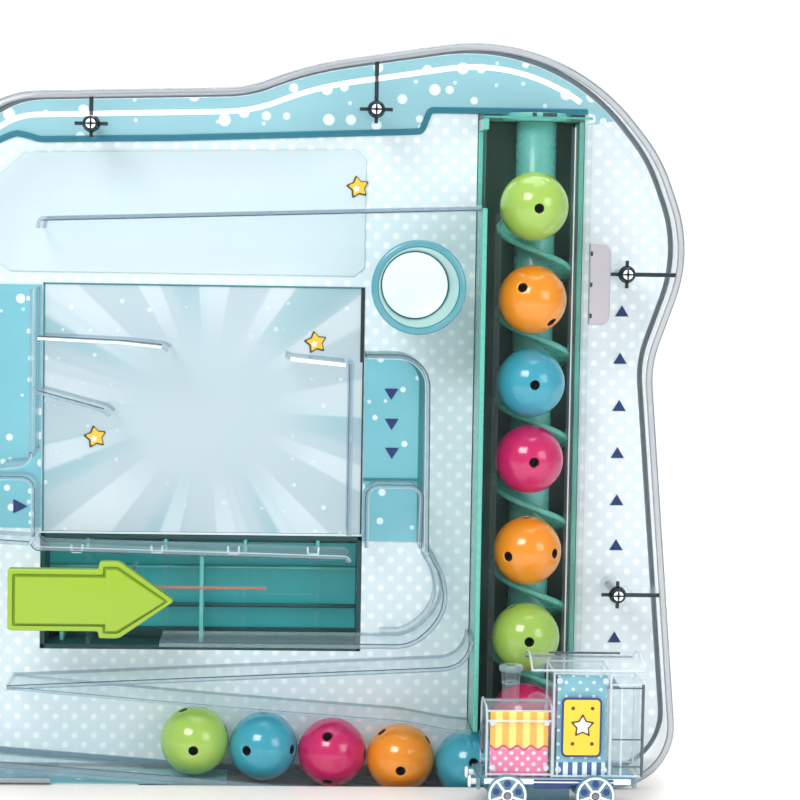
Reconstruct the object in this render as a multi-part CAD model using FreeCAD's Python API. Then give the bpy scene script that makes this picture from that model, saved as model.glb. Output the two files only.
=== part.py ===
import FreeCAD, Part
import os, math
os.makedirs("parts", exist_ok=True)
V = FreeCAD.Vector

# ---------------------------------------------------------------- driving sizes (mm, +Z up, origin on the table)
Y_BOARD = 0.0            # front face of the playfield board
BOARD_T = 2.0
COVER_IN = -29.0         # inner face of the clear cover
COVER_T = 2.0
RIM_WALL = 2.0
RIM_BACK = 4.0           # rear edge of the cover's rim
SHELL_BACK = 34.0        # rear face of the case
BALL_R = 13.5
BALL_Y = -14.5
HOLE_R = 1.8             # through holes in the balls
DECK_Z = 36.0            # top of the base deck
BASE_X0, BASE_X1 = -152.0, 152.0
BASE_Y0, BASE_Y1 = -88.0, 44.0
BASE_Z0 = 2.0
BASE_WALL = 2.6
AUG_X, AUG_Y = 90.0, 8.0
AUG_CORE_R = 8.0
AUG_FL_R = 15.5
PITCH = 33.9
FL_T = 2.2
FL_FRONT_Z = 245.6       # height of one flight where it passes the front of the screw
LIFT_BALL_X = 87.5
LIFT_BALL_Z = [263.4, 227.0, 194.2, 164.0, 127.8, 93.4, 61.2]
LIFT_BALL_COL = ["green", "orange", "blue", "magenta", "orange", "green", "magenta"]
QUEUE_X0, QUEUE_Z0 = 65.9, 42.5
QUEUE_SLOPE = 0.0768     # rise per mm going left
QUEUE_STEP = 27.25
QUEUE_COL = ["blue", "orange", "magenta", "blue", "green"]
LANE_GAP = 0.35
GEAR_Z0, GEAR_Z1 = 8.0, 15.5
DISC_Z0, DISC_Z1 = 16.2, 20.0       # grip disc of the drive wheel
GEAR_M = 1.7
GEAR_N_AUG, GEAR_N_WHL = 15, 45
WHEEL_Y = AUG_Y - GEAR_M * (GEAR_N_AUG + GEAR_N_WHL) / 2.0
WHEEL_R = 47.5
FOOT_R = 8.0
# outline of the case seen from the front: x, z, corner radius
OUTLINE = [(-148.0, 36.0, 24.0), (-141.0, 190.0, 150.0), (-138.0, 303.3, 35.0), (-24.6, 307.2, 48.4),
           (-1.6, 316.4, 134.7), (95.7, 331.9, 79.8), (135.3, 283.1, 62.7), (148.6, 246.9, 56.9),
           (133.2, 202.5, 40.5), (147.8, 36.0, 24.4)]
BOSSES = [(-84.3, 292.1, 0, 1), (24.6, 299.5, 0, 1), (122.7, 237.7, 1, 0), (121.9, 112.6, 1, 0)]


# ---------------------------------------------------------------- helpers
def box(x0, x1, y0, y1, z0, z1):
    return Part.makeBox(x1 - x0, y1 - y0, z1 - z0, V(x0, y0, z0))


def cyl(r, h, p, d=V(0, 0, 1)):
    return Part.makeCylinder(r, h, V(*p), d)


def xz_poly(pts, y0, y1):
    """Prism of an XZ polygon between two Y planes."""
    w = Part.makePolygon([V(x, y0, z) for x, z in pts] + [V(pts[0][0], y0, pts[0][1])])
    return Part.Face(w).extrude(V(0, y1 - y0, 0))


def xy_poly(pts, z0, z1):
    w = Part.makePolygon([V(x, y, z0) for x, y in pts] + [V(pts[0][0], pts[0][1], z0)])
    return Part.Face(w).extrude(V(0, 0, z1 - z0))


def strip(path, t, y0, y1, side=1):
    """Constant-thickness wall along an XZ path, mitred at the corners; thickness t grows to the left of travel."""
    n = len(path)
    offs = []
    for i in range(n):
        ds = []
        if i > 0:
            ds.append((path[i][0] - path[i - 1][0], path[i][1] - path[i - 1][1]))
        if i < n - 1:
            ds.append((path[i + 1][0] - path[i][0], path[i + 1][1] - path[i][1]))
        ns = []
        for dx, dz in ds:
            l = math.hypot(dx, dz)
            ns.append((-dz / l * side, dx / l * side))
        if len(ns) == 1:
            nx, nz = ns[0]
            k = 1.0
        else:
            nx, nz = ns[0][0] + ns[1][0], ns[0][1] + ns[1][1]
            l = math.hypot(nx, nz)
            nx, nz = nx / l, nz / l
            k = 1.0 / max(0.4, nx * ns[0][0] + nz * ns[0][1])
        offs.append((path[i][0] + nx * t * k, path[i][1] + nz * t * k))
    return xz_poly(list(path) + offs[::-1], y0, y1)


def arc_pts(cx, cz, r, a0, a1, n):
    return [(cx + r * math.cos(math.radians(a0 + (a1 - a0) * i / n)),
             cz + r * math.sin(math.radians(a0 + (a1 - a0) * i / n))) for i in range(n + 1)]


def outline_wire(y, verts=OUTLINE):
    n = len(verts)
    segs = []
    for i in range(n):
        x, z, r = verts[i]
        p = V(x, y, z)
        a = V(verts[i - 1][0], y, verts[i - 1][1])
        b = V(verts[(i + 1) % n][0], y, verts[(i + 1) % n][1])
        d1 = (a - p).normalize()
        d2 = (b - p).normalize()
        ang = d1.getAngle(d2)
        t = r / math.tan(ang / 2)
        bis = (d1 + d2).normalize()
        c = p + bis * (r / math.sin(ang / 2))
        s = p + d1 * t
        e = p + d2 * t
        m = c - bis * r
        segs.append((s, m, e))
    edges = []
    for i in range(n):
        s, m, e = segs[i]
        edges.append(Part.Arc(s, m, e).toShape())
        nx = segs[(i + 1) % n][0]
        if (nx - e).Length > 1e-4:
            edges.append(Part.makeLine(e, nx))
    return Part.Wire(edges)


def outline_face(y, off=0.0):
    w = outline_wire(y)
    if off:
        w = w.makeOffset2D(off, 0, False, False, False)
    return Part.Face(w)


def outline_prism(y0, y1, off=0.0):
    return outline_face(y0, off).extrude(V(0, y1 - y0, 0))


def fuse(shapes):
    s = shapes[0]
    if len(shapes) > 1:
        s = s.multiFuse(shapes[1:])
    return s.removeSplitter()


def solids_of(s):
    return s.Solids


def export(name, shape):
    sol = shape.Solids
    if not sol:
        raise RuntimeError(name + " has no solid")
    out = sol[0] if len(sol) == 1 else Part.makeCompound(sol)
    out.exportStep("parts/%s.step" % name)
    bb = out.BoundBox
    print("%-20s solids %2d valid %s vol %9.1f  x %.1f..%.1f y %.1f..%.1f z %.1f..%.1f" % (
        name, len(sol), out.isValid(), out.Volume, bb.XMin, bb.XMax, bb.YMin, bb.YMax, bb.ZMin, bb.ZMax))


def try_fillet(s, r, pick):
    es = [e for e in s.Edges if pick(e)]
    try:
        f = s.makeFillet(r, es)
        if f.isValid() and f.Volume > 0:
            return f
    except Exception:
        pass
    return s


def rounded_block(x0, x1, y0, y1, z0, z1, rc, rt=0.0):
    """Box with rounded upright corners and an optional rounded top edge."""
    s = box(x0, x1, y0, y1, z0, z1)
    s = s.makeFillet(rc, [e for e in s.Edges if abs(e.Vertexes[0].Z - e.Vertexes[1].Z) > 0.5])
    if rt:
        s = try_fillet(s, rt, lambda e: min(v.Z for v in e.Vertexes) > z1 - 1e-3)
    return s


# ---------------------------------------------------------------- lane geometry shared by several pieces
def lane_z(x, up=0.0):
    """Height of the bottom lane's ball-centre line at x, moved up by a perpendicular distance."""
    return QUEUE_Z0 + (QUEUE_X0 - x) * QUEUE_SLOPE + up * math.hypot(1, QUEUE_SLOPE)


# ---------------------------------------------------------------- base
WELL = (-64.0, 112.0, COVER_IN + 0.05, 28.0)     # trough under the case: x0, x1, y0, y1
WELL_Z = 24.0
outer = rounded_block(BASE_X0, BASE_X1, BASE_Y0, BASE_Y1, BASE_Z0 + 3.0, DECK_Z, 22.0, 3.0)
inner = rounded_block(BASE_X0 + BASE_WALL, BASE_X1 - BASE_WALL, BASE_Y0 + BASE_WALL, BASE_Y1 - BASE_WALL,
                      BASE_Z0 + 2.0, DECK_Z - BASE_WALL, 22.0 - BASE_WALL)
base = outer.cut(inner)
x0, x1, y0, y1 = WELL
base = base.fuse(box(x0 - 2, x1 + 2, y0 - 2, y1 + 2, WELL_Z - 2.0, DECK_Z - 0.5))
base = base.cut(box(x0, x1, y0, y1, WELL_Z, DECK_Z + 1))
# pass-through for the screw's axle
base = base.cut(cyl(6.0, 6, (AUG_X, AUG_Y, WELL_Z - 4)))
# slot in the front wall for the rim of the drive wheel
base = base.cut(box(AUG_X - 25, AUG_X + 25, BASE_Y0 - 1, BASE_Y0 + 12, GEAR_Z0 - 1.5, DISC_Z1 + 1.6))
# posts for the bottom screws
POSTS = [(-128, -66), (-128, 24), (128, 24), (136, -72), (-20, -70), (-10, 34)]
for px, py in POSTS:
    base = base.fuse(cyl(4.5, DECK_Z - 2 - 5.2, (px, py, 5.2)))
for px, py in POSTS:
    base = base.cut(cyl(1.3, 14, (px, py, 4.0)))
# guide groove for the locomotive along the deck
GROOVE = (-130.0, 132.0, -62.0, -57.0)
base = base.fuse(box(GROOVE[0] - 2, GROOVE[1] + 2, GROOVE[2] - 2, GROOVE[3] + 2, DECK_Z - 6.5, DECK_Z - 0.5))
base = base.cut(box(GROOVE[0], GROOVE[1], GROOVE[2], GROOVE[3], DECK_Z - 4.5, DECK_Z + 1))
export("base_housing", base.removeSplitter())

plate = rounded_block(BASE_X0 + 0.6, BASE_X1 - 0.6, BASE_Y0 + 0.6, BASE_Y1 - 0.6, BASE_Z0, BASE_Z0 + 3.0, 21.4)
lip = rounded_block(BASE_X0 + 3.0, BASE_X1 - 3.0, BASE_Y0 + 3.0, BASE_Y1 - 3.0, BASE_Z0 + 2.9, BASE_Z0 + 5.5, 19.0)
lip = lip.cut(rounded_block(BASE_X0 + 5.0, BASE_X1 - 5.0, BASE_Y0 + 5.0, BASE_Y1 - 5.0, BASE_Z0 + 2.0, BASE_Z0 + 6.5, 17.0))
lip = lip.cut(box(AUG_X - 34, AUG_X + 34, BASE_Y0 - 1, BASE_Y0 + 14, 0, 30))
plate = plate.fuse(lip)
for px, py in POSTS:
    plate = plate.cut(cyl(5.0, 10, (px, py, 5.15)))
    plate = plate.cut(cyl(1.7, 10, (px, py, 0)))
    plate = plate.cut(cyl(3.2, 1.6, (px, py, BASE_Z0 - 0.2)))
# spindle bosses for the wheel and the screw
plate = plate.fuse(cyl(7.0, 2.0, (AUG_X, WHEEL_Y, BASE_Z0 + 2.9)))
plate = plate.fuse(cyl(6.0, 2.0, (AUG_X, AUG_Y, BASE_Z0 + 2.9)))
plate = plate.cut(cyl(3.05, 6.0, (AUG_X, WHEEL_Y, BASE_Z0 + 1.2)))
plate = plate.cut(cyl(3.05, 6.0, (AUG_X, AUG_Y, BASE_Z0 + 1.2)))
export("base_bottom_plate", plate.removeSplitter())

FEET = [(-132, -48), (132, -50), (-132, 10), (132, 6), (0, 0)]
feet = []
for fx, fy in FEET:
    f = cyl(FOOT_R, BASE_Z0, (fx, fy, 0))
    f = f.makeFillet(0.6, [e for e in f.Edges if e.BoundBox.ZMax < 0.01])
    feet.append(f)
export("rubber_feet", Part.makeCompound(feet))

scr = []
for px, py in POSTS:
    s = cyl(3.0, 1.2, (px, py, BASE_Z0 + 0.1)).fuse(cyl(1.28, 12, (px, py, BASE_Z0 + 1.2)))
    s = s.cut(box(px - 2, px + 2, py - 0.35, py + 0.35, BASE_Z0, BASE_Z0 + 0.7))
    s = s.cut(box(px - 0.35, px + 0.35, py - 2, py + 2, BASE_Z0, BASE_Z0 + 0.7))
    scr.append(s.removeSplitter())
export("base_screws", Part.makeCompound(scr))

# ---------------------------------------------------------------- case: rear tray
bs = outline_prism(BOARD_T + 0.2, SHELL_BACK, -RIM_WALL - 0.4)
bs = bs.cut(outline_prism(BOARD_T, SHELL_BACK - 2.0, -2 * RIM_WALL - 0.4))
flange = outline_prism(RIM_BACK + 0.2, RIM_BACK + 3.2, 0.0).cut(outline_prism(RIM_BACK, RIM_BACK + 4, -2 * RIM_WALL - 0.4))
bs = bs.fuse(flange)
bs = bs.cut(box(-200, 200, -50, 60, -10, DECK_Z + 0.05))
bs = bs.cut(box(WELL[0], WELL[1], BOARD_T, WELL[3], DECK_Z - 1, DECK_Z + 4.4))
export("back_shell", bs.removeSplitter())

# ---------------------------------------------------------------- playfield board
LIFT_X0, LIFT_X1 = 66.2, 108.2
board = outline_prism(Y_BOARD, Y_BOARD + BOARD_T, -RIM_WALL - 0.4)
board = board.cut(box(LIFT_X0 - 0.3, LIFT_X1 + 0.3, -1, 4, 0, 300.7))
board = board.cut(box(-200, 200, -1, 4, 0, DECK_Z + 0.1))
LANE_X0 = -130.0
# opening of the pocket recess
POCK = (-105.3, 22.6, 84.4, 130.8)
board = board.cut(box(POCK[0], POCK[1], -1, 4, POCK[2], POCK[3]))
board = board.cut(cyl(16.2, 4, (42.0, -1, 231.5), V(0, 1, 0)))
DISP = (-104.6, 22.3, 131.6, 230.2)
board = board.cut(box(DISP[0], DISP[1], -1, 0.8, DISP[2], DISP[3]))
export("playfield_board", board.removeSplitter())

card = box(DISP[0] + 0.2, DISP[1] - 0.2, 0.0, 0.8, DISP[2] + 0.2, DISP[3] - 0.2)
export("display_card", card)

# plain raised panel behind the top lane
panel = xz_poly([(-122.5, 238.0), (-118, 234.6), (18.0, 234.6), (22.0, 238.0), (22.0, 281.0), (18.0, 284.6),
                 (-112.0, 281.4), (-122.5, 272.0)], -1.0, 0.0)
export("logo_panel", panel)

# ---------------------------------------------------------------- clear cover
face = outline_prism(COVER_IN - COVER_T, COVER_IN, 0.0)
face = face.cut(cyl(16.3, 6, (42.2, COVER_IN - 4, 231.5), V(0, 1, 0)))
ARROW_SLOT = (-98.0, 10.0, 107.6, 111.6)
slot = box(ARROW_SLOT[0], ARROW_SLOT[1], COVER_IN - 4, COVER_IN + 2, ARROW_SLOT[2], ARROW_SLOT[3])
face = face.cut(slot)
for bx_, bz_, _, _ in BOSSES:
    face = face.cut(cyl(1.5, 6, (bx_, COVER_IN - 4, bz_), V(0, 1, 0)))
face = try_fillet(face, 1.0, lambda e: e.BoundBox.YMax < COVER_IN - COVER_T + 1e-3 and e.Length > 8
                  and e.BoundBox.ZMax > 30 and not (abs(e.BoundBox.Center.x - 42.2) < 20 and abs(e.BoundBox.Center.z - 231.5) < 20)
                  and not (ARROW_SLOT[0] - 1 < e.BoundBox.XMin and e.BoundBox.XMax < ARROW_SLOT[1] + 1
                           and ARROW_SLOT[2] - 1 < e.BoundBox.ZMin and e.BoundBox.ZMax < ARROW_SLOT[3] + 1))
export("cover_face", face)

rim = outline_prism(COVER_IN, RIM_BACK, 0.0).cut(outline_prism(COVER_IN - 1, RIM_BACK + 1, -RIM_WALL))
rim = rim.cut(box(-100.0, WELL[1] + 0.6, COVER_IN - 1, RIM_BACK + 1, DECK_Z - 1, DECK_Z + 5))
# bead step running round the inside of the upper edge
bead = outline_prism(COVER_IN, COVER_IN + 1.2, -8.4).cut(outline_prism(COVER_IN - 1, COVER_IN + 2, -9.4))
bead = bead.cut(box(-200, 200, COVER_IN - 2, COVER_IN + 3, 0, 190)).cut(box(LIFT_X0 - 8, LIFT_X1 + 4, COVER_IN - 2, COVER_IN + 3, 0, 298))
export("cover_rim", rim.removeSplitter())

bos = []
for bx_, bz_, dx, dz in BOSSES:
    b = cyl(3.6, -COVER_IN - 0.1, (bx_, COVER_IN, bz_), V(0, 1, 0))
    ribs = [box(bx_ - 5.4, bx_ + 5.4, COVER_IN, -0.1 - 8, bz_ - 0.6, bz_ + 0.6),
            box(bx_ - 0.6, bx_ + 0.6, COVER_IN, -0.1 - 8, bz_ - 5.4, bz_ + 5.4)]
    if dx:
        ribs.append(box(bx_, bx_ + 60, COVER_IN, -8.0, bz_ - 0.7, bz_ + 0.7))
    if dz:
        ribs.append(box(bx_ - 0.7, bx_ + 0.7, COVER_IN, -8.0, bz_, bz_ + 60))
    b = b.multiFuse(ribs)
    b = b.common(outline_prism(COVER_IN - 1, 0, -RIM_WALL - 0.02))
    b = b.cut(cyl(1.5, 40, (bx_, COVER_IN - 1, bz_), V(0, 1, 0)))
    # the ribs are notched where the bead step crosses them
    b = b.cut(bead)
    bos.append(b.removeSplitter())
export("cover_bosses", Part.makeCompound([s for b in bos for s in b.Solids]))
export("cover_bead", bead)

cs = []
for bx_, bz_, _, _ in BOSSES:
    s = cyl(2.9, 1.5, (bx_, COVER_IN - COVER_T - 1.5, bz_), V(0, 1, 0))
    s = s.fuse(cyl(1.45, 31.0, (bx_, COVER_IN - COVER_T - 0.2, bz_), V(0, 1, 0)))
    s = s.cut(box(bx_ - 1.8, bx_ + 1.8, COVER_IN - COVER_T - 2, COVER_IN - COVER_T - 0.8, bz_ - 0.3, bz_ + 0.3))
    s = s.cut(box(bx_ - 0.3, bx_ + 0.3, COVER_IN - COVER_T - 2, COVER_IN - COVER_T - 0.8, bz_ - 1.8, bz_ + 1.8))
    cs.append(s.removeSplitter())
export("cover_screws", Part.makeCompound(cs))

# ---------------------------------------------------------------- ball lift
LH_Z0, LH_Z1 = WELL_Z + 0.05, 297.0
ENTRY_Z = 57.8
EXIT_Z0, EXIT_Z1 = 262.4, 292.6
lw = box(LIFT_X0, LIFT_X0 + 2, COVER_IN + 0.2, 26.4, LH_Z0, LH_Z1)
rw = box(LIFT_X1 - 2, LIFT_X1, COVER_IN + 0.2, 26.4, LH_Z0, LH_Z1)
bw = box(LIFT_X0, LIFT_X1, 24.4, 26.4, LH_Z0, LH_Z1)
# upright strips that close the channel behind the ball column
sl = box(LIFT_X0 + 2, LIFT_X0 + 5.0, 0.6, 2.6, ENTRY_Z, LH_Z1)
lh = lw.multiFuse([rw, bw])
lh = lh.cut(box(LIFT_X0 - 1, LIFT_X0 + 3, COVER_IN, 0.4, LH_Z0 - 1, ENTRY_Z))
lh = lh.cut(box(LIFT_X0 - 1, LIFT_X0 + 3, COVER_IN, 0.2, EXIT_Z0, EXIT_Z1))
export("lift_housing", lh.removeSplitter())

tb = box(LIFT_X0, LIFT_X1, COVER_IN + 0.2, 26.4, LH_Z1 + 0.02, LH_Z1 + 2.0)
tb = tb.fuse(cyl(14.4, 2.4, (AUG_X - 0.6, AUG_Y, LH_Z1 + 1.0)))
tb = tb.cut(cyl(3.05, 12, (AUG_X, AUG_Y, LH_Z1 - 4)))
for dx in (-7.5, 7.5):
    tb = tb.cut(box(AUG_X + dx - 1.2, AUG_X + dx + 1.2, AUG_Y - 4, AUG_Y + 4, LH_Z1 + 1.6, LH_Z1 + 5))
export("lift_top_bearing", tb.removeSplitter())

bush = cyl(7.5, 2.0, (AUG_X, AUG_Y, WELL_Z + 0.05)).fuse(cyl(5.95, 2.6, (AUG_X, AUG_Y, WELL_Z - 2.4)))
bush = bush.cut(cyl(3.05, 12, (AUG_X, AUG_Y, WELL_Z - 6)))
export("lift_foot_bush", bush.removeSplitter())

GL = LIFT_BALL_X - BALL_R - 0.4
GR = LIFT_BALL_X + BALL_R + 0.4
gl = box(GL - 1.6, GL, COVER_IN + 0.08, -16.0, ENTRY_Z + 2.0, EXIT_Z0 - 2.0)
gr = box(GR, GR + 1.6, COVER_IN + 0.08, -16.0, WELL_Z + 4.0, 294.0)
export("lift_guides", Part.makeCompound([gl, gr]))

# screw: core with one left-handed flight
def auger():
    z0, z1 = 30.0, 291.5
    # the flight stops at the height where the top ball leaves the screw, the bare core goes on to the bearing
    h = 268.0 - z0 - FL_T
    hel = Part.makeHelix(PITCH, h, AUG_CORE_R, 0, True)
    w = Part.Wire(hel.Edges)
    r0, r1 = AUG_CORE_R - 0.6, AUG_FL_R
    prof = Part.makePolygon([V(r0, 0, -FL_T / 2), V(r1, 0, -FL_T / 2 + 0.25), V(r1, 0, FL_T / 2 - 0.25), V(r0, 0, FL_T / 2),
                             V(r0, 0, -FL_T / 2)])
    fl = w.makePipeShell([prof], True, True)
    if fl.ShapeType != "Solid":
        fl = Part.Solid(fl) if fl.ShapeType == "Shell" else fl.Solids[0]
    if fl.Volume < 0:
        fl.reverse()
    # left-handed: going up by dz turns the flight by -360*dz/PITCH about +Z
    zs = z0 + FL_T / 2
    turn = -90.0 - (-360.0 * (FL_FRONT_Z - zs) / PITCH)
    fl.rotate(V(0, 0, 0), V(0, 0, 1), turn)
    fl.translate(V(AUG_X, AUG_Y, zs))
    core = cyl(AUG_CORE_R, z1 - z0 + 1.5, (AUG_X, AUG_Y, z0 - 1.0))
    core = core.cut(cyl(3.02, 400, (AUG_X, AUG_Y, 0)))
    fl = fl.cut(cyl(AUG_CORE_R - 0.3, 400, (AUG_X, AUG_Y, 0)))
    s = core.fuse(fl)
    return s, fl


asc, flight = auger()
export("auger_screw", asc)

axle = cyl(3.0, 301.0 - 3.4, (AUG_X, AUG_Y, 3.4))
axle = axle.makeChamfer(0.5, [e for e in axle.Edges if e.BoundBox.ZMin > 300.9])
export("auger_axle", axle)


def gear(n, m, cx, cy, z0, z1, phase, bore, extra=None):
    rp = n * m / 2.0
    ra = rp + 0.92 * m
    rf = rp - 1.15 * m
    pts = []
    for i in range(n):
        a = 2 * math.pi * i / n + phase
        q = math.pi / n
        # narrow trapezoid teeth: running backlash on both flanks
        for da, r in ((-0.56 * q, rf), (-0.40 * q, rp), (-0.17 * q, ra), (0.17 * q, ra), (0.40 * q, rp), (0.56 * q, rf)):
            pts.append((cx + r * math.cos(a + da), cy + r * math.sin(a + da)))
    s = xy_poly(pts, z0, z1)
    if extra is not None:
        s = s.multiFuse(extra)
    return s.cut(cyl(bore, 60, (cx, cy, z0 - 20))).removeSplitter()


# meshing phase: wheel tooth points at the screw gear (+Y), screw gear has a gap there (-Y)
ph_w = math.pi / 2
ph_a = -math.pi / 2 + math.pi / GEAR_N_AUG
ag = gear(GEAR_N_AUG, GEAR_M, AUG_X, AUG_Y, GEAR_Z0, GEAR_Z1, ph_a, 3.0,
          [cyl(5.5, 1.2, (AUG_X, AUG_Y, GEAR_Z0 - 0.9))])
export("auger_gear", ag)

grip = cyl(WHEEL_R, DISC_Z1 - DISC_Z0, (AUG_X, WHEEL_Y, DISC_Z0))
n_k = 60
for i in range(n_k):
    a = 2 * math.pi * i / n_k
    grip = grip.cut(cyl(1.1, 8, (AUG_X + (WHEEL_R + 0.35) * math.cos(a), WHEEL_Y + (WHEEL_R + 0.35) * math.sin(a), DISC_Z0 - 1.5)))
wheel = gear(GEAR_N_WHL, GEAR_M, AUG_X, WHEEL_Y, GEAR_Z0, DISC_Z0 + 0.1, ph_w, 3.05, [cyl(8, 6, (AUG_X, WHEEL_Y, GEAR_Z0 - 0.9))])
export("drive_wheel", wheel.fuse(grip.cut(cyl(3.05, 60, (AUG_X, WHEEL_Y, 0)))).removeSplitter())
wa = cyl(3.0, WELL_Z - 2.2 - 3.4, (AUG_X, WHEEL_Y, 3.4))
export("wheel_spindle", wa)

# ---------------------------------------------------------------- fixed lanes
YF, YR = COVER_IN + 0.1, -0.05          # front and rear edges of the clear lane walls
TOP_RAIL = [(-103.0, 256.5), (65.9, 263.2)]
export("top_rail", strip(TOP_RAIL, 1.6, YF, -1.05, -1).fuse(
    strip([(-103.0, 256.5), (-104.6, 255.2), (-105.2, 252.0)], 1.6, YF, -1.05, 1)).removeSplitter())

led = [strip([(-104.2, 210.5), (-72.0, 209.3), (-56.5, 207.9), (-53.9, 206.2)], 1.5, YF, YR, -1),
       strip([(-9.6, 206.2), (-7.4, 204.3), (14.4, 200.8)], 1.5, YF, YR, -1),
       strip([(-104.2, 189.6), (-78.5, 182.8), (-75.9, 180.6)], 1.5, YF, YR, -1)]
export("display_ledges", Part.makeCompound(led))
export("chute_post", box(15.8, 17.6, YF, YR, 134.7, 201.6))

CHUTE = [(22.5, 203.6)] + arc_pts(34.6, 192.7, 10.9, 90, 0, 6) + [(46.0, 128.6)]
export("drop_chute", strip(CHUTE, 1.6, YF, YR, 1))
export("chute_backing", xz_poly([(21.9, 129.0), (44.3, 129.0), (44.3, 192)] + arc_pts(34.3, 192.5, 10.0, 10, 90, 6)
                                + [(21.9, 202.5)], -0.6, 0.0).cut(box(21, 22.6, -2, 2, 120, 131)))

lf = strip([(-137.6, 132.6), (-107.3, 130.97)], 1.6, YF, YR, -1)
lc = strip([(-105.9, 228.5), (-105.9, 164.5)] + arc_pts(-112.4, 166.0, 6.5, -13, -78, 4) + [(-118.0, 158.9)], 1.4, YF, -0.65, -1)
export("left_lane", Part.makeCompound([lf, lc]))
export("left_backing", box(-134.5, -105.3, -0.6, 0.0, 133.0, 229.4))

BOWL = [(-56.4, 92.1), (38.5, 92.1), (44.1, 94.4), (49.3, 99.2), (52.9, 105.0), (54.0, 111.1), (52.4, 119.6), (47.8, 127.6)]
export("catch_tray", strip(BOWL, 1.5, YF, YR, -1))

px0, px1, pz0, pz1 = POCK
pt = box(px0 + 0.2, px1 - 0.2, 0.02, 26.0, pz0 + 0.2, pz1 - 0.2)
pt = pt.cut(box(px0 + 1.8, px1 - 1.8, -1, 24.4, pz0 + 1.8, pz1 - 1.8))
DIV_X = [-86.4, -55.6, -23.9, 5.0]
export("pocket_tray", pt)
div = [box(x - 0.8, x + 0.8, 0.3, 24.35, pz0 + 1.85, pz1 - 1.85) for x in DIV_X]
export("pocket_dividers", Part.makeCompound(div))
hooks = []
for x in (-90.7, -59.0, -28.6, 3.1):
    hooks.append(strip([(x - 2.6, 124.9), (x - 2.6, 122.6), (x + 2.6, 122.6), (x + 2.6, 124.9)], 0.8, YF, YR - 6, 1))
rail = strip([(-105.4, 130.9), (-104.0, 129.0), (16.0, 126.6), (17.6, 124.6)], 1.4, YF, YR, -1)
export("pocket_rail", rail)

up = strip([(-115.3, 74.6), (-60.0, 77.4), (56.0, 83.3), (60.8, 85.4), (63.6, 89.2), (64.6, 94.0)], 1.4, YF, YR, -1)
lo = strip([(-115.3, 74.2), (-54.0, 69.0), (-28.0, 66.9), (39.0, 62.1), (58.0, 58.6), (65.7, 58.0)], 1.2, YF, YR, -1)
nose = cyl(1.3, YR - YF, (-115.3, YF, 73.6), V(0, 1, 0))
export("return_ramp", up.multiFuse([lo, nose]).removeSplitter())

XL, XR = -135.5, 105.8
fl = [(x, lane_z(x, -BALL_R - LANE_GAP)) for x in (XL, XR)]
lane = strip(fl, 1.5, YF, YR, -1)
flf = [(x, lane_z(x, -BALL_R - LANE_GAP - 0.5)) for x in (XL, 64.0)]
lane = lane.multiFuse([strip(flf, 2.5, YF, YF + 1.0, 1), strip(flf, 2.5, YR - 1.0, YR, 1)])
export("bottom_rail", lane.removeSplitter())

# ---------------------------------------------------------------- ball cup
PX, PZ = 42.0, 231.5
ring = cyl(18.2, 1.3, (PX, COVER_IN - COVER_T - 1.3, PZ), V(0, 1, 0)).cut(cyl(15.6, 4, (PX, COVER_IN - COVER_T - 2, PZ), V(0, 1, 0)))
ring = try_fillet(ring, 0.5, lambda e: e.BoundBox.YMax < COVER_IN - COVER_T - 1.29)
export("port_ring", ring)
co = Part.makeCone(16.2, 14.9, 31.0, V(PX, COVER_IN - COVER_T, PZ), V(0, 1, 0))
ci = Part.makeCone(15.3, 13.5, 31.2, V(PX, COVER_IN - COVER_T - 0.1, PZ), V(0, 1, 0))
export("port_cup", co.cut(ci))
export("port_disc", cyl(16.1, 1.9, (PX, 0.02, PZ), V(0, 1, 0)))

tab = xz_poly([(108.7, 217.8)] + arc_pts(113.0, 221.6, 3.8, -90, 0, 5) + arc_pts(113.0, 245.8, 3.8, 0, 90, 5)
              + [(108.7, 249.6)], COVER_IN + 0.02, COVER_IN + 5.0)
export("lift_tab", tab)

# ---------------------------------------------------------------- balls
MASTER = Part.makeSphere(BALL_R, V(0, 0, 0), V(1.0, 1.1, 1.25).normalize())
for d in (V(1, 0, 0), V(0, 1, 0), V(0, 0, 1)):
    MASTER = MASTER.cut(Part.makeCylinder(HOLE_R, 40, d * -20, d))


def ball(x, z, du=0.0, dv=0.0, spin=20.0):
    """Ball with three crossing through holes; (du, dv) places one hole's mouth on the front, in mm right and up."""
    f = V(du, -math.sqrt(max(0.0, BALL_R ** 2 - du * du - dv * dv)), dv).normalize()
    a = f.cross(V(0, 0, 1)).normalize()
    b = f.cross(a)
    t = math.radians(spin)
    g = a * math.cos(t) + b * math.sin(t)
    h = f.cross(g)
    m = FreeCAD.Matrix(f.x, g.x, h.x, x, f.y, g.y, h.y, BALL_Y, f.z, g.z, h.z, z, 0, 0, 0, 1)
    s = MASTER.copy()
    s.Placement = FreeCAD.Placement(m)
    return s


LIFT_HOLES = [(0.8, -0.8, 15), (-5.1, 5.1, 45), (0.5, 0.0, 30), (0.8, 0.0, 5), (-8.6, -1.2, 0), (0.4, 0.0, 25), (0.0, 2.0, 40)]
QUEUE_HOLES = [(1.2, 2.8, 10), (-0.4, -2.8, 35), (-2.2, 8.4, 0), (-6.7, 0.4, 0), (0.0, -1.6, 20)]
groups = {}
for z, col, (du, dv, sp) in zip(LIFT_BALL_Z, LIFT_BALL_COL, LIFT_HOLES):
    groups.setdefault("lift_balls_" + col, []).append(ball(LIFT_BALL_X, z, du, dv, sp))
for i, (col, (du, dv, sp)) in enumerate(zip(QUEUE_COL, QUEUE_HOLES)):
    x = QUEUE_X0 - i * QUEUE_STEP / math.hypot(1, QUEUE_SLOPE)
    groups.setdefault("queue_balls_" + col, []).append(ball(x, lane_z(x), du, dv, sp))
for name, bl in groups.items():
    export(name, Part.makeCompound(bl))

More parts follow.
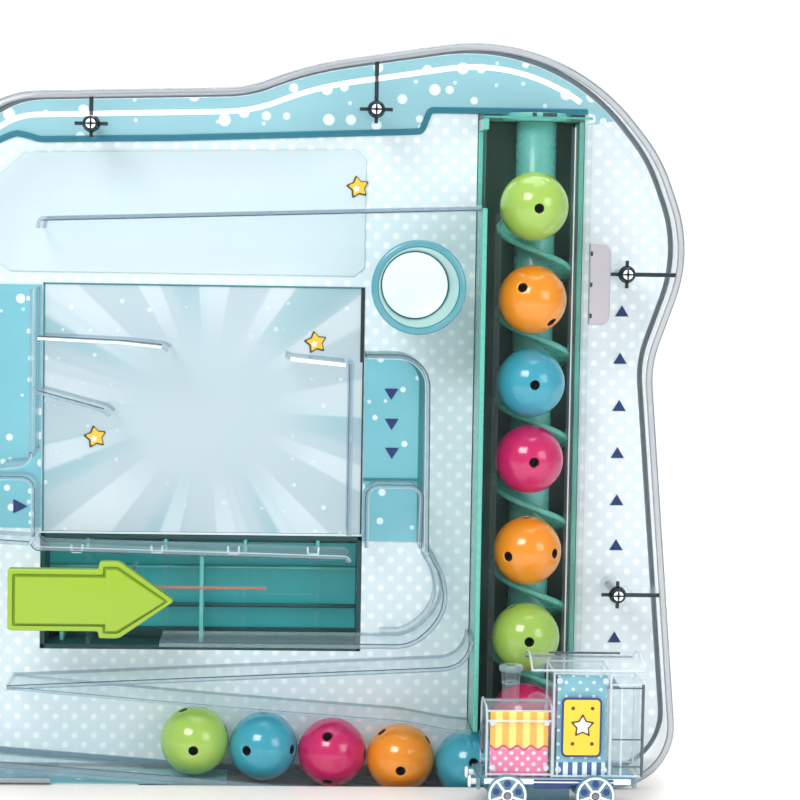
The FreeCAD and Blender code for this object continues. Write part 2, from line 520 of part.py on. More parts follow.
# ---------------------------------------------------------------- arrow slider
AY0 = COVER_IN - COVER_T - 0.3
def arrow_poly(o):
    """Arrow outline shrunk by o."""
    return [(-114.4 + o, 97.4 + o), (-79.5 + o * 0.9, 97.4 + o), (-79.5 + o * 0.9, 94.7 + o), (-71.6 - o * 0.25, 94.7 + o),
            (-50.4 - o * 1.25, 109.4), (-71.6 - o * 0.25, 124.5 - o), (-79.5 + o * 0.9, 124.5 - o), (-79.5 + o * 0.9, 121.4 - o),
            (-114.4 + o, 121.4 - o)]
knob = xz_poly(arrow_poly(0), AY0 - 5.0, AY0)
knob = try_fillet(knob, 1.4, lambda e: abs(e.Vertexes[0].Y - e.Vertexes[-1].Y) > 2)
knob = knob.fuse(xz_poly(arrow_poly(3.0), AY0 - 6.6, AY0 - 4.9))
knob = knob.fuse(box(-88.0, -76.0, AY0 - 0.1, COVER_IN + 0.3, 107.9, 111.3))
export("arrow_knob", knob.removeSplitter())
sl = box(-93.0, -66.0, COVER_IN + 0.32, COVER_IN + 2.0, 100.5, 119.0)
sl = sl.fuse(box(-68.0, -66.0, COVER_IN + 0.32, -2.0, 98.0, 120.0))
sl = sl.fuse(box(-92.0, -68.0, COVER_IN + 1.9, COVER_IN + 12.0, 108.8, 110.4))
export("arrow_slide", sl.removeSplitter())

# ---------------------------------------------------------------- locomotive on the deck
LY0, LY1 = -74.0, -46.0
WR = 7.5
AX1, AX2 = 76.0, 109.0
AZ = DECK_Z + 0.35 + WR
ch = rounded_block(66.0, 124.0, LY0, LY1, 47.0, 50.0, 4.0)
for ax in (AX1, AX2):
    for yy in (LY0 + 0.4, LY1 - 4.4):
        ch = ch.fuse(box(ax - 4, ax + 4, yy, yy + 4, 39.6, 47.2))
ch = ch.fuse(box(84.0, 101.0, GROOVE[2] + 0.3, GROOVE[3] - 0.3, DECK_Z - 4.0, 47.5))
for ax in (AX1, AX2):
    ch = ch.cut(cyl(1.56, 60, (ax, LY0 - 10, AZ), V(0, 1, 0)))
export("loco_chassis", ch.removeSplitter())

def hollow(x0, x1, y0, y1, z0, z1, t, r):
    o = box(x0, x1, y0, y1, z0, z1)
    o = o.makeFillet(r, [e for e in o.Edges if e.BoundBox.ZMin > z1 - 1e-3 and e.BoundBox.XLength > 1])
    i = box(x0 + t, x1 - t, y0 + t, y1 - t, z0 - 1, z1 - t)
    return o.cut(i)

boil = hollow(68.0, 93.0, LY0 + 1.0, LY1 - 1.0, 50.02, 76.0, 1.4, 6.0)
export("loco_boiler", boil)
cab = hollow(93.05, 114.6, LY0 + 0.6, LY1 - 0.6, 50.02, 90.0, 1.4, 1.0)
export("loco_cab", cab)
bunk = hollow(114.65, 127.0, LY0 + 1.0, LY1 - 1.0, 50.02, 85.6, 1.4, 2.0)
export("loco_bunker", bunk)
chim = Part.makeCone(3.6, 4.6, 12.0, V(78.0, -60.0, 76.0)).fuse(cyl(5.4, 2.2, (78.0, -60.0, 87.8)))
chim = chim.cut(cyl(2.6, 12, (78.0, -60.0, 79.0)))
export("loco_chimney", chim.removeSplitter())
roof = []
n = 12
pts = []
for i in range(n + 1):
    y = LY0 - 1.5 + (LY1 - LY0 + 3.0) * i / n
    q = (y - (LY0 + LY1) / 2) / ((LY1 - LY0) / 2 + 1.5)
    pts.append((y, 95.2 - 4.4 * q * q))
w = [V(84.5, y, z) for y, z in pts] + [V(84.5, y, max(90.05, z - 2.0)) for y, z in pts[::-1]]
w.append(w[0])
export("loco_roof", Part.Face(Part.makePolygon(w)).extrude(V(42.0, 0, 0)))
export("loco_boiler_card", box(69.6, 91.4, LY0 + 2.5, LY0 + 3.1, 50.1, 74.4))
export("loco_cab_card", box(94.6, 113.0, LY0 + 2.1, LY0 + 2.7, 50.1, 88.4))
win = box(97.3, 110.6, LY0 + 0.05, LY0 + 0.58, 59.6, 79.8)
win = win.makeFillet(2.0, [e for e in win.Edges if e.BoundBox.YLength > 0.3])
export("loco_window", win)

def wheelset(ax):
    s = [cyl(1.5, LY1 - LY0 + 1.0, (ax, LY0 - 0.5, AZ), V(0, 1, 0))]
    for yy in (LY0 - 3.4, LY1 + 0.4):
        d = cyl(WR, 3.0, (ax, yy, AZ), V(0, 1, 0))
        for k in range(5):
            a = math.radians(72 * k + 18)
            d = d.cut(cyl(1.3, 8, (ax + 4.4 * math.cos(a), yy - 2, AZ + 4.4 * math.sin(a)), V(0, 1, 0)))
        s.append(d)
    return s[0].multiFuse(s[1:]).removeSplitter()

export("loco_front_wheels", wheelset(AX1))
export("loco_rear_wheels", wheelset(AX2))
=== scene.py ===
import bpy, bmesh, math
from mathutils import Vector, Matrix


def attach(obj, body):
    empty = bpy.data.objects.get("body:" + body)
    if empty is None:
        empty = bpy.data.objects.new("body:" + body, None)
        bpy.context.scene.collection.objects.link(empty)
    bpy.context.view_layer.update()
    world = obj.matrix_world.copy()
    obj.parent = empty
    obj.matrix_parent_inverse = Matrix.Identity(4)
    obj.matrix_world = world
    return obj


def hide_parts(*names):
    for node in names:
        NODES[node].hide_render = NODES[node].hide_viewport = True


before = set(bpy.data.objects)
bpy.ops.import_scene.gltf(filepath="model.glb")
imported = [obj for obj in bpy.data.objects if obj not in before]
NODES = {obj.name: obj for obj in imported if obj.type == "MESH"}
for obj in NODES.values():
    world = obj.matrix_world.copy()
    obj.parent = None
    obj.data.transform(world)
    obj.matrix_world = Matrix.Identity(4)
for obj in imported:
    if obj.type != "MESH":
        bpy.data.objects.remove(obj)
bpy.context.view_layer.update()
MM = 0.001

# ------------------------------------------------------------------ node material helpers
class Mat:
    def __init__(self, name):
        self.m = bpy.data.materials.new(name)
        self.m.use_nodes = True
        self.nt = self.m.node_tree
        self.nt.nodes.clear()
        self.out = self.nt.nodes.new("ShaderNodeOutputMaterial")
        self.tc = None

    def n(self, kind, **kw):
        node = self.nt.nodes.new("ShaderNode" + kind)
        for k, v in kw.items():
            setattr(node, k, v)
        return node

    def link(self, a, b):
        self.nt.links.new(a, b)
        return self

    def put(self, sock, v):
        if hasattr(v, "links") or hasattr(v, "is_output"):
            self.nt.links.new(v, sock)
        else:
            if isinstance(v, (tuple, list)) and len(v) == 3 and sock.type == "RGBA":
                v = (*v, 1.0)
            sock.default_value = v

    def obj(self):
        if self.tc is None:
            self.tc = self.n("TexCoord").outputs["Object"]
        return self.tc

    def math(self, op, a, b=None, c=None, clamp=False):
        m = self.n("Math", operation=op)
        m.use_clamp = clamp
        self.put(m.inputs[0], a)
        if b is not None:
            self.put(m.inputs[1], b)
        if c is not None:
            self.put(m.inputs[2], c)
        return m.outputs[0]

    def xyz(self):
        s = self.n("SeparateXYZ")
        self.put(s.inputs[0], self.obj())
        return s.outputs

    def comb(self, x, y, z=0.0):
        c = self.n("CombineXYZ")
        self.put(c.inputs[0], x)
        self.put(c.inputs[1], y)
        self.put(c.inputs[2], z)
        return c.outputs[0]

    def mix(self, f, a, b):
        m = self.n("Mix", data_type="RGBA")
        self.put(m.inputs[0], f)
        self.put(m.inputs[6], a)
        self.put(m.inputs[7], b)
        return m.outputs[2]

    def ramp(self, f, stops):
        r = self.n("ValToRGB")
        els = r.color_ramp.elements
        while len(els) < len(stops):
            els.new(0.5)
        for e, (p, c) in zip(els, stops):
            e.position = p
            e.color = (*c, 1.0) if len(c) == 3 else c
        self.put(r.inputs[0], f)
        return r.outputs[0]

    def smooth(self, v, lo, hi):
        m = self.n("MapRange", interpolation_type="SMOOTHSTEP")
        self.put(m.inputs[0], v)
        m.inputs[1].default_value = lo
        m.inputs[2].default_value = hi
        m.inputs[3].default_value = 0.0
        m.inputs[4].default_value = 1.0
        return m.outputs[0]

    def noise(self, scale, detail=2.0, rough=0.5, vec=None, dims="3D"):
        t = self.n("TexNoise", noise_dimensions=dims)
        self.put(t.inputs["Vector"], vec if vec is not None else self.obj())
        t.inputs["Scale"].default_value = scale
        t.inputs["Detail"].default_value = detail
        t.inputs["Roughness"].default_value = rough
        return t.outputs["Fac"]

    def bsdf(self, color, rough=0.4, spec=0.5, metal=0.0, coat=0.0, coat_rough=0.05, bump=None, bump_d=0.0002, **extra):
        p = self.n("BsdfPrincipled")
        self.put(p.inputs["Base Color"], color)
        self.put(p.inputs["Roughness"], rough)
        p.inputs["Specular IOR Level"].default_value = spec
        p.inputs["Metallic"].default_value = metal
        p.inputs["Coat Weight"].default_value = coat
        p.inputs["Coat Roughness"].default_value = coat_rough
        for k, v in extra.items():
            self.put(p.inputs[k.replace("_", " ")], v)
        if bump is not None:
            b = self.n("Bump")
            b.inputs["Distance"].default_value = bump_d
            b.inputs["Strength"].default_value = 1.0
            self.put(b.inputs["Height"], bump)
            self.put(p.inputs["Normal"], b.outputs[0])
        return p.outputs[0]

    def done(self, shader):
        self.link(shader, self.out.inputs[0])
        return self.m


def srgb(r, g, b):
    f = lambda c: (c / 255.0) / 12.92 if c / 255.0 <= 0.04045 else ((c / 255.0 + 0.055) / 1.055) ** 2.4
    return (f(r), f(g), f(b))


def plastic(name, rgb, rough=0.3, var=0.06, grain=900.0, bump_d=0.00003, coat=0.0, spec=0.5, **extra):
    """Moulded plastic: faint colour drift, fine grain in the gloss and the surface."""
    m = Mat(name)
    c = srgb(*rgb)
    dark = tuple(v * (1.0 - var) for v in c)
    lite = tuple(min(1.0, v * (1.0 + var)) for v in c)
    col = m.mix(m.noise(35.0, 3.0), dark, lite)
    r = m.math("MULTIPLY_ADD", m.noise(grain * 0.4, 2.0), 0.10, rough - 0.05)
    return m.done(m.bsdf(col, r, spec, coat=coat, bump=m.noise(grain, 2.0), bump_d=bump_d, **extra))


def clear(name, tint=(0.93, 0.97, 0.98), body=0.05, rim=0.55, rough=0.04, face_rgb=(205, 220, 228), power=2.0, coat=0.6):
    """Clear moulded plastic: see-through face on, milky at grazing angles, with faint flow marks."""
    m = Mat(name)
    tr = m.n("BsdfTransparent")
    tr.inputs[0].default_value = (*tint, 1.0)
    c = srgb(*face_rgb)
    r = m.math("MULTIPLY_ADD", m.noise(60.0, 2.0), 0.05, rough)
    g = m.bsdf(m.mix(m.noise(25.0, 2.0), tuple(v * 0.94 for v in c), tuple(min(1, v * 1.05) for v in c)), r, 0.6,
               coat=coat, coat_rough=0.03, bump=m.noise(45.0, 1.0), bump_d=0.00006)
    lw = m.n("LayerWeight")
    lw.inputs[0].default_value = 0.35
    f = m.math("MULTIPLY_ADD", m.math("POWER", lw.outputs["Facing"], power), rim, body, clamp=True)
    mx = m.n("MixShader")
    m.link(f, mx.inputs[0])
    m.link(tr.outputs[0], mx.inputs[1])
    m.link(g, mx.inputs[2])
    m.m.use_backface_culling = False
    return m.done(mx.outputs[0])


def lattice_dots(m, pitch, rad, soft, ox=0.0, oz=0.0):
    """Staggered round dots in the X-Z plane: pitch across, half-step rows."""
    x, y, z = m.xyz()
    x = m.math("ADD", x, ox)
    z = m.math("ADD", z, oz)
    a = m.math("MULTIPLY", m.math("ADD", x, z), 1.0 / pitch)
    b = m.math("MULTIPLY", m.math("SUBTRACT", x, z), 1.0 / pitch)
    fa = m.math("SUBTRACT", m.math("FRACT", a), 0.5)
    fb = m.math("SUBTRACT", m.math("FRACT", b), 0.5)
    d = m.math("SQRT", m.math("ADD", m.math("MULTIPLY", fa, fa), m.math("MULTIPLY", fb, fb)))
    d = m.math("MULTIPLY", d, pitch / math.sqrt(2.0))
    return m.math("SUBTRACT", 1.0, m.smooth(d, rad - soft, rad + soft), clamp=True)


def random_dots(m, cell, rmin, rmax, keep, soft, ox=0.0, flat=False):
    """Round dots of mixed size scattered in the X-Z plane."""
    x, y, z = m.xyz()
    z = y if flat else z
    v = m.n("TexVoronoi", voronoi_dimensions="2D", feature="F1")
    m.put(v.inputs["Vector"], m.comb(m.math("ADD", x, ox), z))
    v.inputs["Scale"].default_value = 1.0 / cell
    v.inputs["Randomness"].default_value = 0.75
    s = m.n("SeparateColor")
    m.put(s.inputs[0], v.outputs["Color"])
    rad = m.math("MULTIPLY_ADD", s.outputs[0], (rmax - rmin) / cell, rmin / cell)
    e = m.math("SUBTRACT", v.outputs["Distance"], rad)
    on = m.math("SUBTRACT", 1.0, m.smooth(e, -soft / cell, soft / cell), clamp=True)
    k = m.math("LESS_THAN", s.outputs[1], keep)
    return m.math("MULTIPLY", on, k)


def board_mat():
    m = Mat("board_dots")
    dots = lattice_dots(m, 0.0076, 0.00120, 0.00055)
    base = m.mix(m.noise(14.0, 2.0), srgb(219, 232, 238), srgb(228, 239, 243))
    # the right-hand lane fades to a paler grey
    x, y, z = m.xyz()
    right = m.smooth(x, 0.104, 0.112)
    base = m.mix(right, base, srgb(226, 234, 238))
    col = m.mix(dots, base, srgb(250, 253, 254))
    return m.done(m.bsdf(col, m.math("MULTIPLY_ADD", m.noise(300.0), 0.12, 0.30), 0.45, coat=0.25, coat_rough=0.12,
                         bump=m.noise(700.0), bump_d=0.00002))


def blue_dots_mat(name, rgb_a, rgb_b, cell=0.0085, rmin=0.0006, rmax=0.0026, keep=0.55, ox=0.0, flat=False):
    m = Mat(name)
    big = random_dots(m, cell, rmin, rmax, keep, 0.0003, ox, flat)
    small = random_dots(m, cell * 0.8, 0.0006, 0.0010, 0.22, 0.0002, ox + 0.5, flat)
    f = m.math("MAXIMUM", big, m.math("MULTIPLY", small, 0.8))
    base = m.mix(m.noise(22.0, 2.0), srgb(*rgb_a), srgb(*rgb_b))
    col = m.mix(f, base, srgb(238, 248, 250))
    return m.done(m.bsdf(col, m.math("MULTIPLY_ADD", m.noise(300.0), 0.10, 0.25), 0.45, coat=0.3, coat_rough=0.1,
                         bump=m.noise(700.0), bump_d=0.00002))


def card_mat():
    """Display card: pale rays fanning out of the middle over grey-blue, small faint specks."""
    m = Mat("card_rays")
    x, y, z = m.xyz()
    dx = m.math("SUBTRACT", x, -0.040)
    dz = m.math("SUBTRACT", z, 0.181)
    ang = m.math("ARCTAN2", dz, dx)
    rad = m.math("SQRT", m.math("ADD", m.math("MULTIPLY", dx, dx), m.math("MULTIPLY", dz, dz)))
    w1 = m.math("SINE", m.math("MULTIPLY_ADD", ang, 13.0, 0.6))
    w2 = m.math("SINE", m.math("MULTIPLY_ADD", ang, 31.0, 1.9))
    w = m.math("MULTIPLY_ADD", w2, 0.45, w1)
    ray = m.smooth(w, 0.05, 0.55)
    teal = m.smooth(m.math("SINE", m.math("MULTIPLY_ADD", ang, 7.0, 2.2)), 0.3, 0.9)
    far = m.smooth(rad, 0.022, 0.058)
    base = m.mix(m.noise(18.0, 2.0), srgb(178, 195, 203), srgb(192, 207, 213))
    col = m.mix(m.math("MULTIPLY", teal, m.math("MULTIPLY", far, 0.55)), base, srgb(138, 186, 194))
    col = m.mix(m.math("MULTIPLY", ray, m.math("MULTIPLY", far, 0.75)), col, srgb(218, 227, 231))
    sp = random_dots(m, 0.010, 0.0003, 0.0010, 0.5, 0.0002, 0.2)
    col = m.mix(m.math("MULTIPLY", sp, m.math("MULTIPLY", far, 0.6)), col, srgb(245, 250, 252))
    return m.done(m.bsdf(col, m.math("MULTIPLY_ADD", m.noise(250.0), 0.1, 0.35), 0.4, coat=0.15, bump=m.noise(800.0),
                         bump_d=0.00001))


# ------------------------------------------------------------------ materials
M_BOARD = board_mat()
M_BAND = blue_dots_mat("band_dots", (140, 192, 202), (158, 203, 211), cell=0.0105, rmin=0.0013, rmax=0.0024, keep=0.62)
M_LANE = blue_dots_mat("lane_dots", (112, 186, 200), (132, 197, 208), cell=0.0105, rmin=0.0009, rmax=0.0019, keep=0.6, ox=0.31)
M_DECK = blue_dots_mat("deck_dots", (112, 186, 200), (132, 197, 208), cell=0.0105, rmin=0.0010, rmax=0.0022, keep=0.6, ox=0.1, flat=True)
M_CARD = card_mat()
M_PANEL = plastic("panel_pale", (208, 223, 228), 0.4, 0.02)
M_TEAL = plastic("teal_moulded", (72, 168, 150), 0.28, 0.05, coat=0.2)
# lighter teal: used for the auger flights and, as painted light, on the front faces of the lift channel
M_TEAL_LITE = plastic("teal_light", (100, 190, 172), 0.28, 0.05, coat=0.2)
M_TEAL_MID = plastic("teal_core", (110, 192, 180), 0.28, 0.05, coat=0.25)
# darker copy of the teal for the inside of the lift channel, its inner ribs and the rear of the top cap: painted shade
M_TEAL_SHADE = plastic("teal_painted_shade", (58, 116, 96), 0.35, 0.10)
M_TEAL_LINE = plastic("teal_line", (32, 118, 138), 0.3, 0.08)
M_RINGB = plastic("ring_blue", (82, 150, 164), 0.25, 0.04, coat=0.3)
M_WHITE = plastic("white_moulded", (246, 249, 250), 0.35, 0.02)
# white disc with a faint emission so it stays bright at the bottom of the cup: painted light
M_DISC_GLOW = plastic("disc_white_painted_glow", (252, 250, 251), 0.4, 0.01, Emission_Color=(1.0, 0.97, 0.98), Emission_Strength=0.6)
M_CREAM = plastic("cream_moulded", (255, 247, 242), 0.42, 0.03, grain=1400.0, bump_d=0.00006)
M_UNDER = plastic("underside_grey", (214, 208, 188), 0.5, 0.04, grain=1400.0, bump_d=0.00008)
M_SHELL = plastic("shell_white", (176, 190, 200), 0.33, 0.02, grain=1200.0, bump_d=0.00004)
M_RUBBER = plastic("rubber_black", (34, 34, 34), 0.8, 0.15, grain=1600.0, bump_d=0.00015, spec=0.3)
M_LIME = plastic("lime_moulded", (148, 181, 44), 0.34, 0.03, coat=0.1)
# darker copy of the lime for the knob's side wall, the groove round its plateau and the stem: painted shade
M_LIME_SHADE = plastic("lime_painted_shade", (112, 148, 28), 0.35, 0.05)
M_NAVY = plastic("navy_moulded", (28, 52, 120), 0.3, 0.08, coat=0.2)
M_CHAS = clear("chassis_clear_blue", tint=(0.55, 0.72, 0.80), body=0.45, rim=0.35, face_rgb=(120, 176, 196), coat=0.4)
M_STEEL = plastic("steel", (130, 132, 136), 0.25, 0.10, grain=2200.0, bump_d=0.00003, spec=0.5, Metallic=1.0)
M_BLUED = plastic("blued_steel", (52, 60, 68), 0.28, 0.15, grain=2200.0, bump_d=0.00003, Metallic=0.9)
M_DARK = plastic("dark_shadow", (22, 30, 34), 0.5, 0.2)
M_YELLOW = plastic("star_yellow", (246, 200, 60), 0.35, 0.05)
M_OUTLN = plastic("star_outline", (86, 66, 40), 0.45, 0.08)
# cup wall with a faint teal emission that brightens the inside of the cup: painted light
M_CUP_GLOW = plastic("cup_wall_painted_glow", (122, 190, 184), 0.3, 0.04, coat=0.3, Emission_Color=(0.42, 0.74, 0.68), Emission_Strength=0.10)
# pocket back wall with a teal emission that brightens the recess: painted light
M_POCK = plastic("pocket_wall_painted_glow", (6, 120, 124), 0.35, 0.08, Emission_Color=(0.02, 0.24, 0.24), Emission_Strength=0.55)
# darker copy of the pocket teal for the recess side walls and the bands along its top and floor: painted shade
M_POCK_SHADE = plastic("pocket_painted_shade", (8, 66, 66), 0.4, 0.12)
M_POCK_L = plastic("pocket_light", (96, 190, 182), 0.3, 0.05)
M_TRI = plastic("mark_blue", (8, 44, 104), 0.4, 0.05)
M_CHSIDE = plastic("chute_side", (44, 128, 136), 0.35, 0.08)
M_RED = plastic("line_red", (214, 110, 84), 0.4, 0.06)
M_PINK = plastic("tab_pink", (214, 178, 190), 0.35, 0.05)
M_CLEAR = clear("clear_sheet", tint=(0.985, 0.992, 0.995), body=0.006, rim=0.30, coat=0.0)
M_CLEAR2 = clear("clear_lane", tint=(0.97, 0.985, 0.988), body=0.035, rim=0.34, face_rgb=(228, 238, 243))
# greyer, more opaque clear for the edge faces of clear walls: painted shade
M_EDGE = clear("clear_edge", tint=(0.80, 0.87, 0.90), body=0.42, rim=0.4, face_rgb=(150, 172, 184))
# white lines along clear edges: painted highlight
M_EDGE_HILITE = clear("clear_edge_painted_highlight", tint=(0.9, 0.94, 0.96), body=0.45, rim=0.4, face_rgb=(236, 246, 250))
M_CLEAR3 = clear("clear_fine", tint=(0.975, 0.985, 0.988), body=0.015, rim=0.28, face_rgb=(224, 234, 240), coat=0.2)
M_TAB = clear("tab_frost", tint=(0.86, 0.82, 0.86), body=0.62, rim=0.3, face_rgb=(202, 196, 200), coat=0.3)
# grey bands on the rim: painted shade
M_RIMG = clear("rim_grey", tint=(0.62, 0.63, 0.66), body=0.62, rim=0.3, face_rgb=(182, 185, 190), coat=0.2)
# white with a faint emission for the inner bead, the screw-head middles and the white bars on the ledges: painted
# highlight
M_HILITE = plastic("painted_highlight_white", (250, 252, 253), 0.2, 0.01, Emission_Color=(1.0, 1.0, 1.0), Emission_Strength=0.25)
M_RIBK = plastic("boss_rib_shade", (24, 40, 48), 0.35, 0.15)
# dark lines along clear edges (painted shade), also the dark seam line at the back of the rim
M_EDGE_SHADE_JOINT = clear("clear_edge_painted_shade_and_joint", tint=(0.42, 0.48, 0.52), body=0.55, rim=0.3, face_rgb=(92, 104, 112))


def ball_mat(name, rgb, deep):
    m = Mat(name)
    col = m.mix(m.noise(40.0, 2.0), srgb(*rgb), tuple(v * 0.93 for v in srgb(*rgb)))
    lw = m.n("LayerWeight")
    lw.inputs[0].default_value = 0.25
    return m.done(m.bsdf(col, m.math("MULTIPLY_ADD", m.noise(200.0), 0.05, 0.14), 0.5, coat=0.5, coat_rough=0.06,
                         bump=m.noise(300.0), bump_d=0.00002,
                         **{"Subsurface_Weight": 0.25, "Subsurface_Scale": 0.004}))


BALL = {
    "green": ball_mat("ball_green", (166, 202, 86), None),
    "orange": ball_mat("ball_orange", (246, 148, 8), None),
    "blue": ball_mat("ball_blue", (56, 162, 184), None),
    "magenta": ball_mat("ball_magenta", (206, 5, 98), None),
}
# near-black for the hole walls and the blind bottom discs in the balls: painted shade
M_BALLHOLE_SHADE = plastic("ball_hole_painted_shade", (12, 12, 14), 0.6, 0.2)


# ------------------------------------------------------------------ mesh helpers (sizes in mm)
def make(name, verts, faces, mats, body="case", smooth=40.0, bevel=0.0, seg=2, idx=None, slot=None, replaces=(), recalc=True):
    me = bpy.data.meshes.new(name)
    me.from_pydata([(v[0] * MM, v[1] * MM, v[2] * MM) for v in verts], [], faces)
    me.validate()
    if not isinstance(mats, (list, tuple)):
        mats = [mats]
    for m in mats:
        me.materials.append(m)
    if idx is not None:
        for p, i in zip(me.polygons, idx):
            p.material_index = i
    if recalc:
        bm = bmesh.new()
        bm.from_mesh(me)
        bmesh.ops.recalc_face_normals(bm, faces=bm.faces)
        bm.to_mesh(me)
        bm.free()
    o = bpy.data.objects.new(name, me)
    bpy.context.scene.collection.objects.link(o)
    if bevel:
        b = o.modifiers.new("bevel", "BEVEL")
        b.width = bevel * MM
        b.segments = seg
        b.limit_method = "ANGLE"
        b.angle_limit = math.radians(32)
        b.use_clamp_overlap = True
    if smooth:
        for p in me.polygons:
            p.use_smooth = True
        me.set_sharp_from_angle(angle=math.radians(smooth)) if not bevel else None
        if bevel:
            w = o.modifiers.new("wn", "WEIGHTED_NORMAL")
            w.keep_sharp = False
            w.weight = 90
    if body:
        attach(o, body)
    if replaces:
        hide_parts(*replaces)
    return o


def join_parts(parts):
    """[(verts, faces, idx)] -> one vertex list."""
    V, F, I = [], [], []
    for v, f, i in parts:
        k = len(V)
        V += list(v)
        F += [tuple(a + k for a in q) for q in f]
        I += list(i)
    return V, F, I


def prism(pts, y0, y1, cap=0, side=0, back=None):
    """Closed prism of an X-Z polygon. Faces at y0 take cap, at y1 take back, the rest side."""
    n = len(pts)
    v = [(x, y0, z) for x, z in pts] + [(x, y1, z) for x, z in pts]
    f = [tuple(range(n)), tuple(range(2 * n - 1, n - 1, -1))]
    i = [cap, cap if back is None else back]
    for k in range(n):
        f.append((k, (k + 1) % n, n + (k + 1) % n, n + k))
        i.append(side)
    return v, f, i


def block(x0, x1, y0, y1, z0, z1, mi=0):
    v = [(x0, y0, z0), (x1, y0, z0), (x1, y1, z0), (x0, y1, z0), (x0, y0, z1), (x1, y0, z1), (x1, y1, z1), (x0, y1, z1)]
    f = [(0, 3, 2, 1), (4, 5, 6, 7), (0, 1, 5, 4), (1, 2, 6, 5), (2, 3, 7, 6), (3, 0, 4, 7)]
    return v, f, [mi] * 6


def lathe(profile, c, axis="y", n=48, closed=False, mi=0):
    """profile: (r, h) list turned about the axis through c. Ends with r=0 close the piece."""
    v, f, i = [], [], []
    rings = []
    for r, h in profile:
        if r <= 1e-6:
            rings.append([len(v)])
            v.append((0.0, 0.0, h))
        else:
            rings.append(list(range(len(v), len(v) + n)))
            for k in range(n):
                a = 2 * math.pi * k / n
                v.append((r * math.cos(a), r * math.sin(a), h))
    pairs = list(zip(rings[:-1], rings[1:]))
    if closed:
        pairs.append((rings[-1], rings[0]))
    for j, (a, b) in enumerate(pairs):
        m = mi[j] if isinstance(mi, (list, tuple)) else mi
        if len(a) == 1 and len(b) == 1:
            continue
        for k in range(n):
            k2 = (k + 1) % n
            if len(a) == 1:
                f.append((a[0], b[k], b[k2]))
            elif len(b) == 1:
                f.append((a[k], b[0], a[k2]))
            else:
                f.append((a[k], b[k], b[k2], a[k2]))
            i.append(m)
    out = []
    for x, y, h in v:
        if axis == "y":
            out.append((c[0] + x, c[1] + h, c[2] + y))
        elif axis == "z":
            out.append((c[0] + x, c[1] + y, c[2] + h))
        else:
            out.append((c[0] + h, c[1] + x, c[2] + y))
    return out, f, i


def arc(cx, cz, r, a0, a1, n):
    return [(cx + r * math.cos(math.radians(a0 + (a1 - a0) * k / n)),
             cz + r * math.sin(math.radians(a0 + (a1 - a0) * k / n))) for k in range(n + 1)]


def clean(path):
    out = [tuple(path[0])]
    for p in path[1:]:
        if math.hypot(p[0] - out[-1][0], p[1] - out[-1][1]) > 1e-4:
            out.append(tuple(p))
    return out


def offset_path(path, t):
    path = clean(path)
    n = len(path)
    out = []
    for i in range(n):
        ns = []
        if i > 0:
            dx, dz = path[i][0] - path[i - 1][0], path[i][1] - path[i - 1][1]
            l = math.hypot(dx, dz)
            ns.append((-dz / l, dx / l))
        if i < n - 1:
            dx, dz = path[i + 1][0] - path[i][0], path[i + 1][1] - path[i][1]
            l = math.hypot(dx, dz)
            ns.append((-dz / l, dx / l))
        if len(ns) == 1:
            nx, nz = ns[0]
            k = 1.0
        else:
            nx, nz = ns[0][0] + ns[1][0], ns[0][1] + ns[1][1]
            l = math.hypot(nx, nz)
            nx, nz = nx / l, nz / l
            k = 1.0 / max(0.4, nx * ns[0][0] + nz * ns[0][1])
        out.append((path[i][0] + nx * t * k, path[i][1] + nz * t * k))
    return out


def soften(path, r=2.5, n=5):
    """Rounds the corners of an open path."""
    if r < 0.05:
        return list(path)
    out = [path[0]]
    for i in range(1, len(path) - 1):
        p = Vector(path[i])
        a = Vector(path[i - 1]) - p
        b = Vector(path[i + 1]) - p
        t = min(r, a.length * 0.45, b.length * 0.45)
        s = p + a.normalized() * t
        e = p + b.normalized() * t
        for k in range(n + 1):
            q = k / n
            w = (1 - q) ** 2 * s + 2 * q * (1 - q) * p + q * q * e
            out.append((w.x, w.y))
    out.append(path[-1])
    return out


def plate(path, t, y0, y1, side=1, r=2.5):
    """Clear lane wall along an X-Z path: broad faces 0, front and rear edges 1."""
    p = clean(soften(clean(path), r))
    q = offset_path(p, t * side)
    n = len(p)
    v = [(x, y0, z) for x, z in p] + [(x, y1, z) for x, z in p] + [(x, y0, z) for x, z in q] + [(x, y1, z) for x, z in q]
    f, i = [], []
    for k in range(n - 1):
        f.append((k, k + 1, n + k + 1, n + k)); i.append(0)
        f.append((2 * n + k, 3 * n + k, 3 * n + k + 1, 2 * n + k + 1)); i.append(0)
        f.append((k, 2 * n + k, 2 * n + k + 1, k + 1)); i.append(1)
        f.append((n + k, n + k + 1, 3 * n + k + 1, 3 * n + k)); i.append(1)
    f.append((0, n, 3 * n, 2 * n)); i.append(1)
    f.append((n - 1, 3 * n - 1, 4 * n - 1, 2 * n - 1)); i.append(1)
    return v, f, i


# ------------------------------------------------------------------ outline of the case
OUT = [(-148.0, 36.0, 24.0), (-141.0, 190.0, 150.0), (-138.0, 303.3, 35.0), (-24.6, 307.2, 48.4),
       (-1.6, 316.4, 134.7), (95.7, 331.9, 79.8), (135.3, 283.1, 62.7), (148.6, 246.9, 56.9),
       (133.2, 202.5, 40.5), (147.8, 36.0, 24.4)]


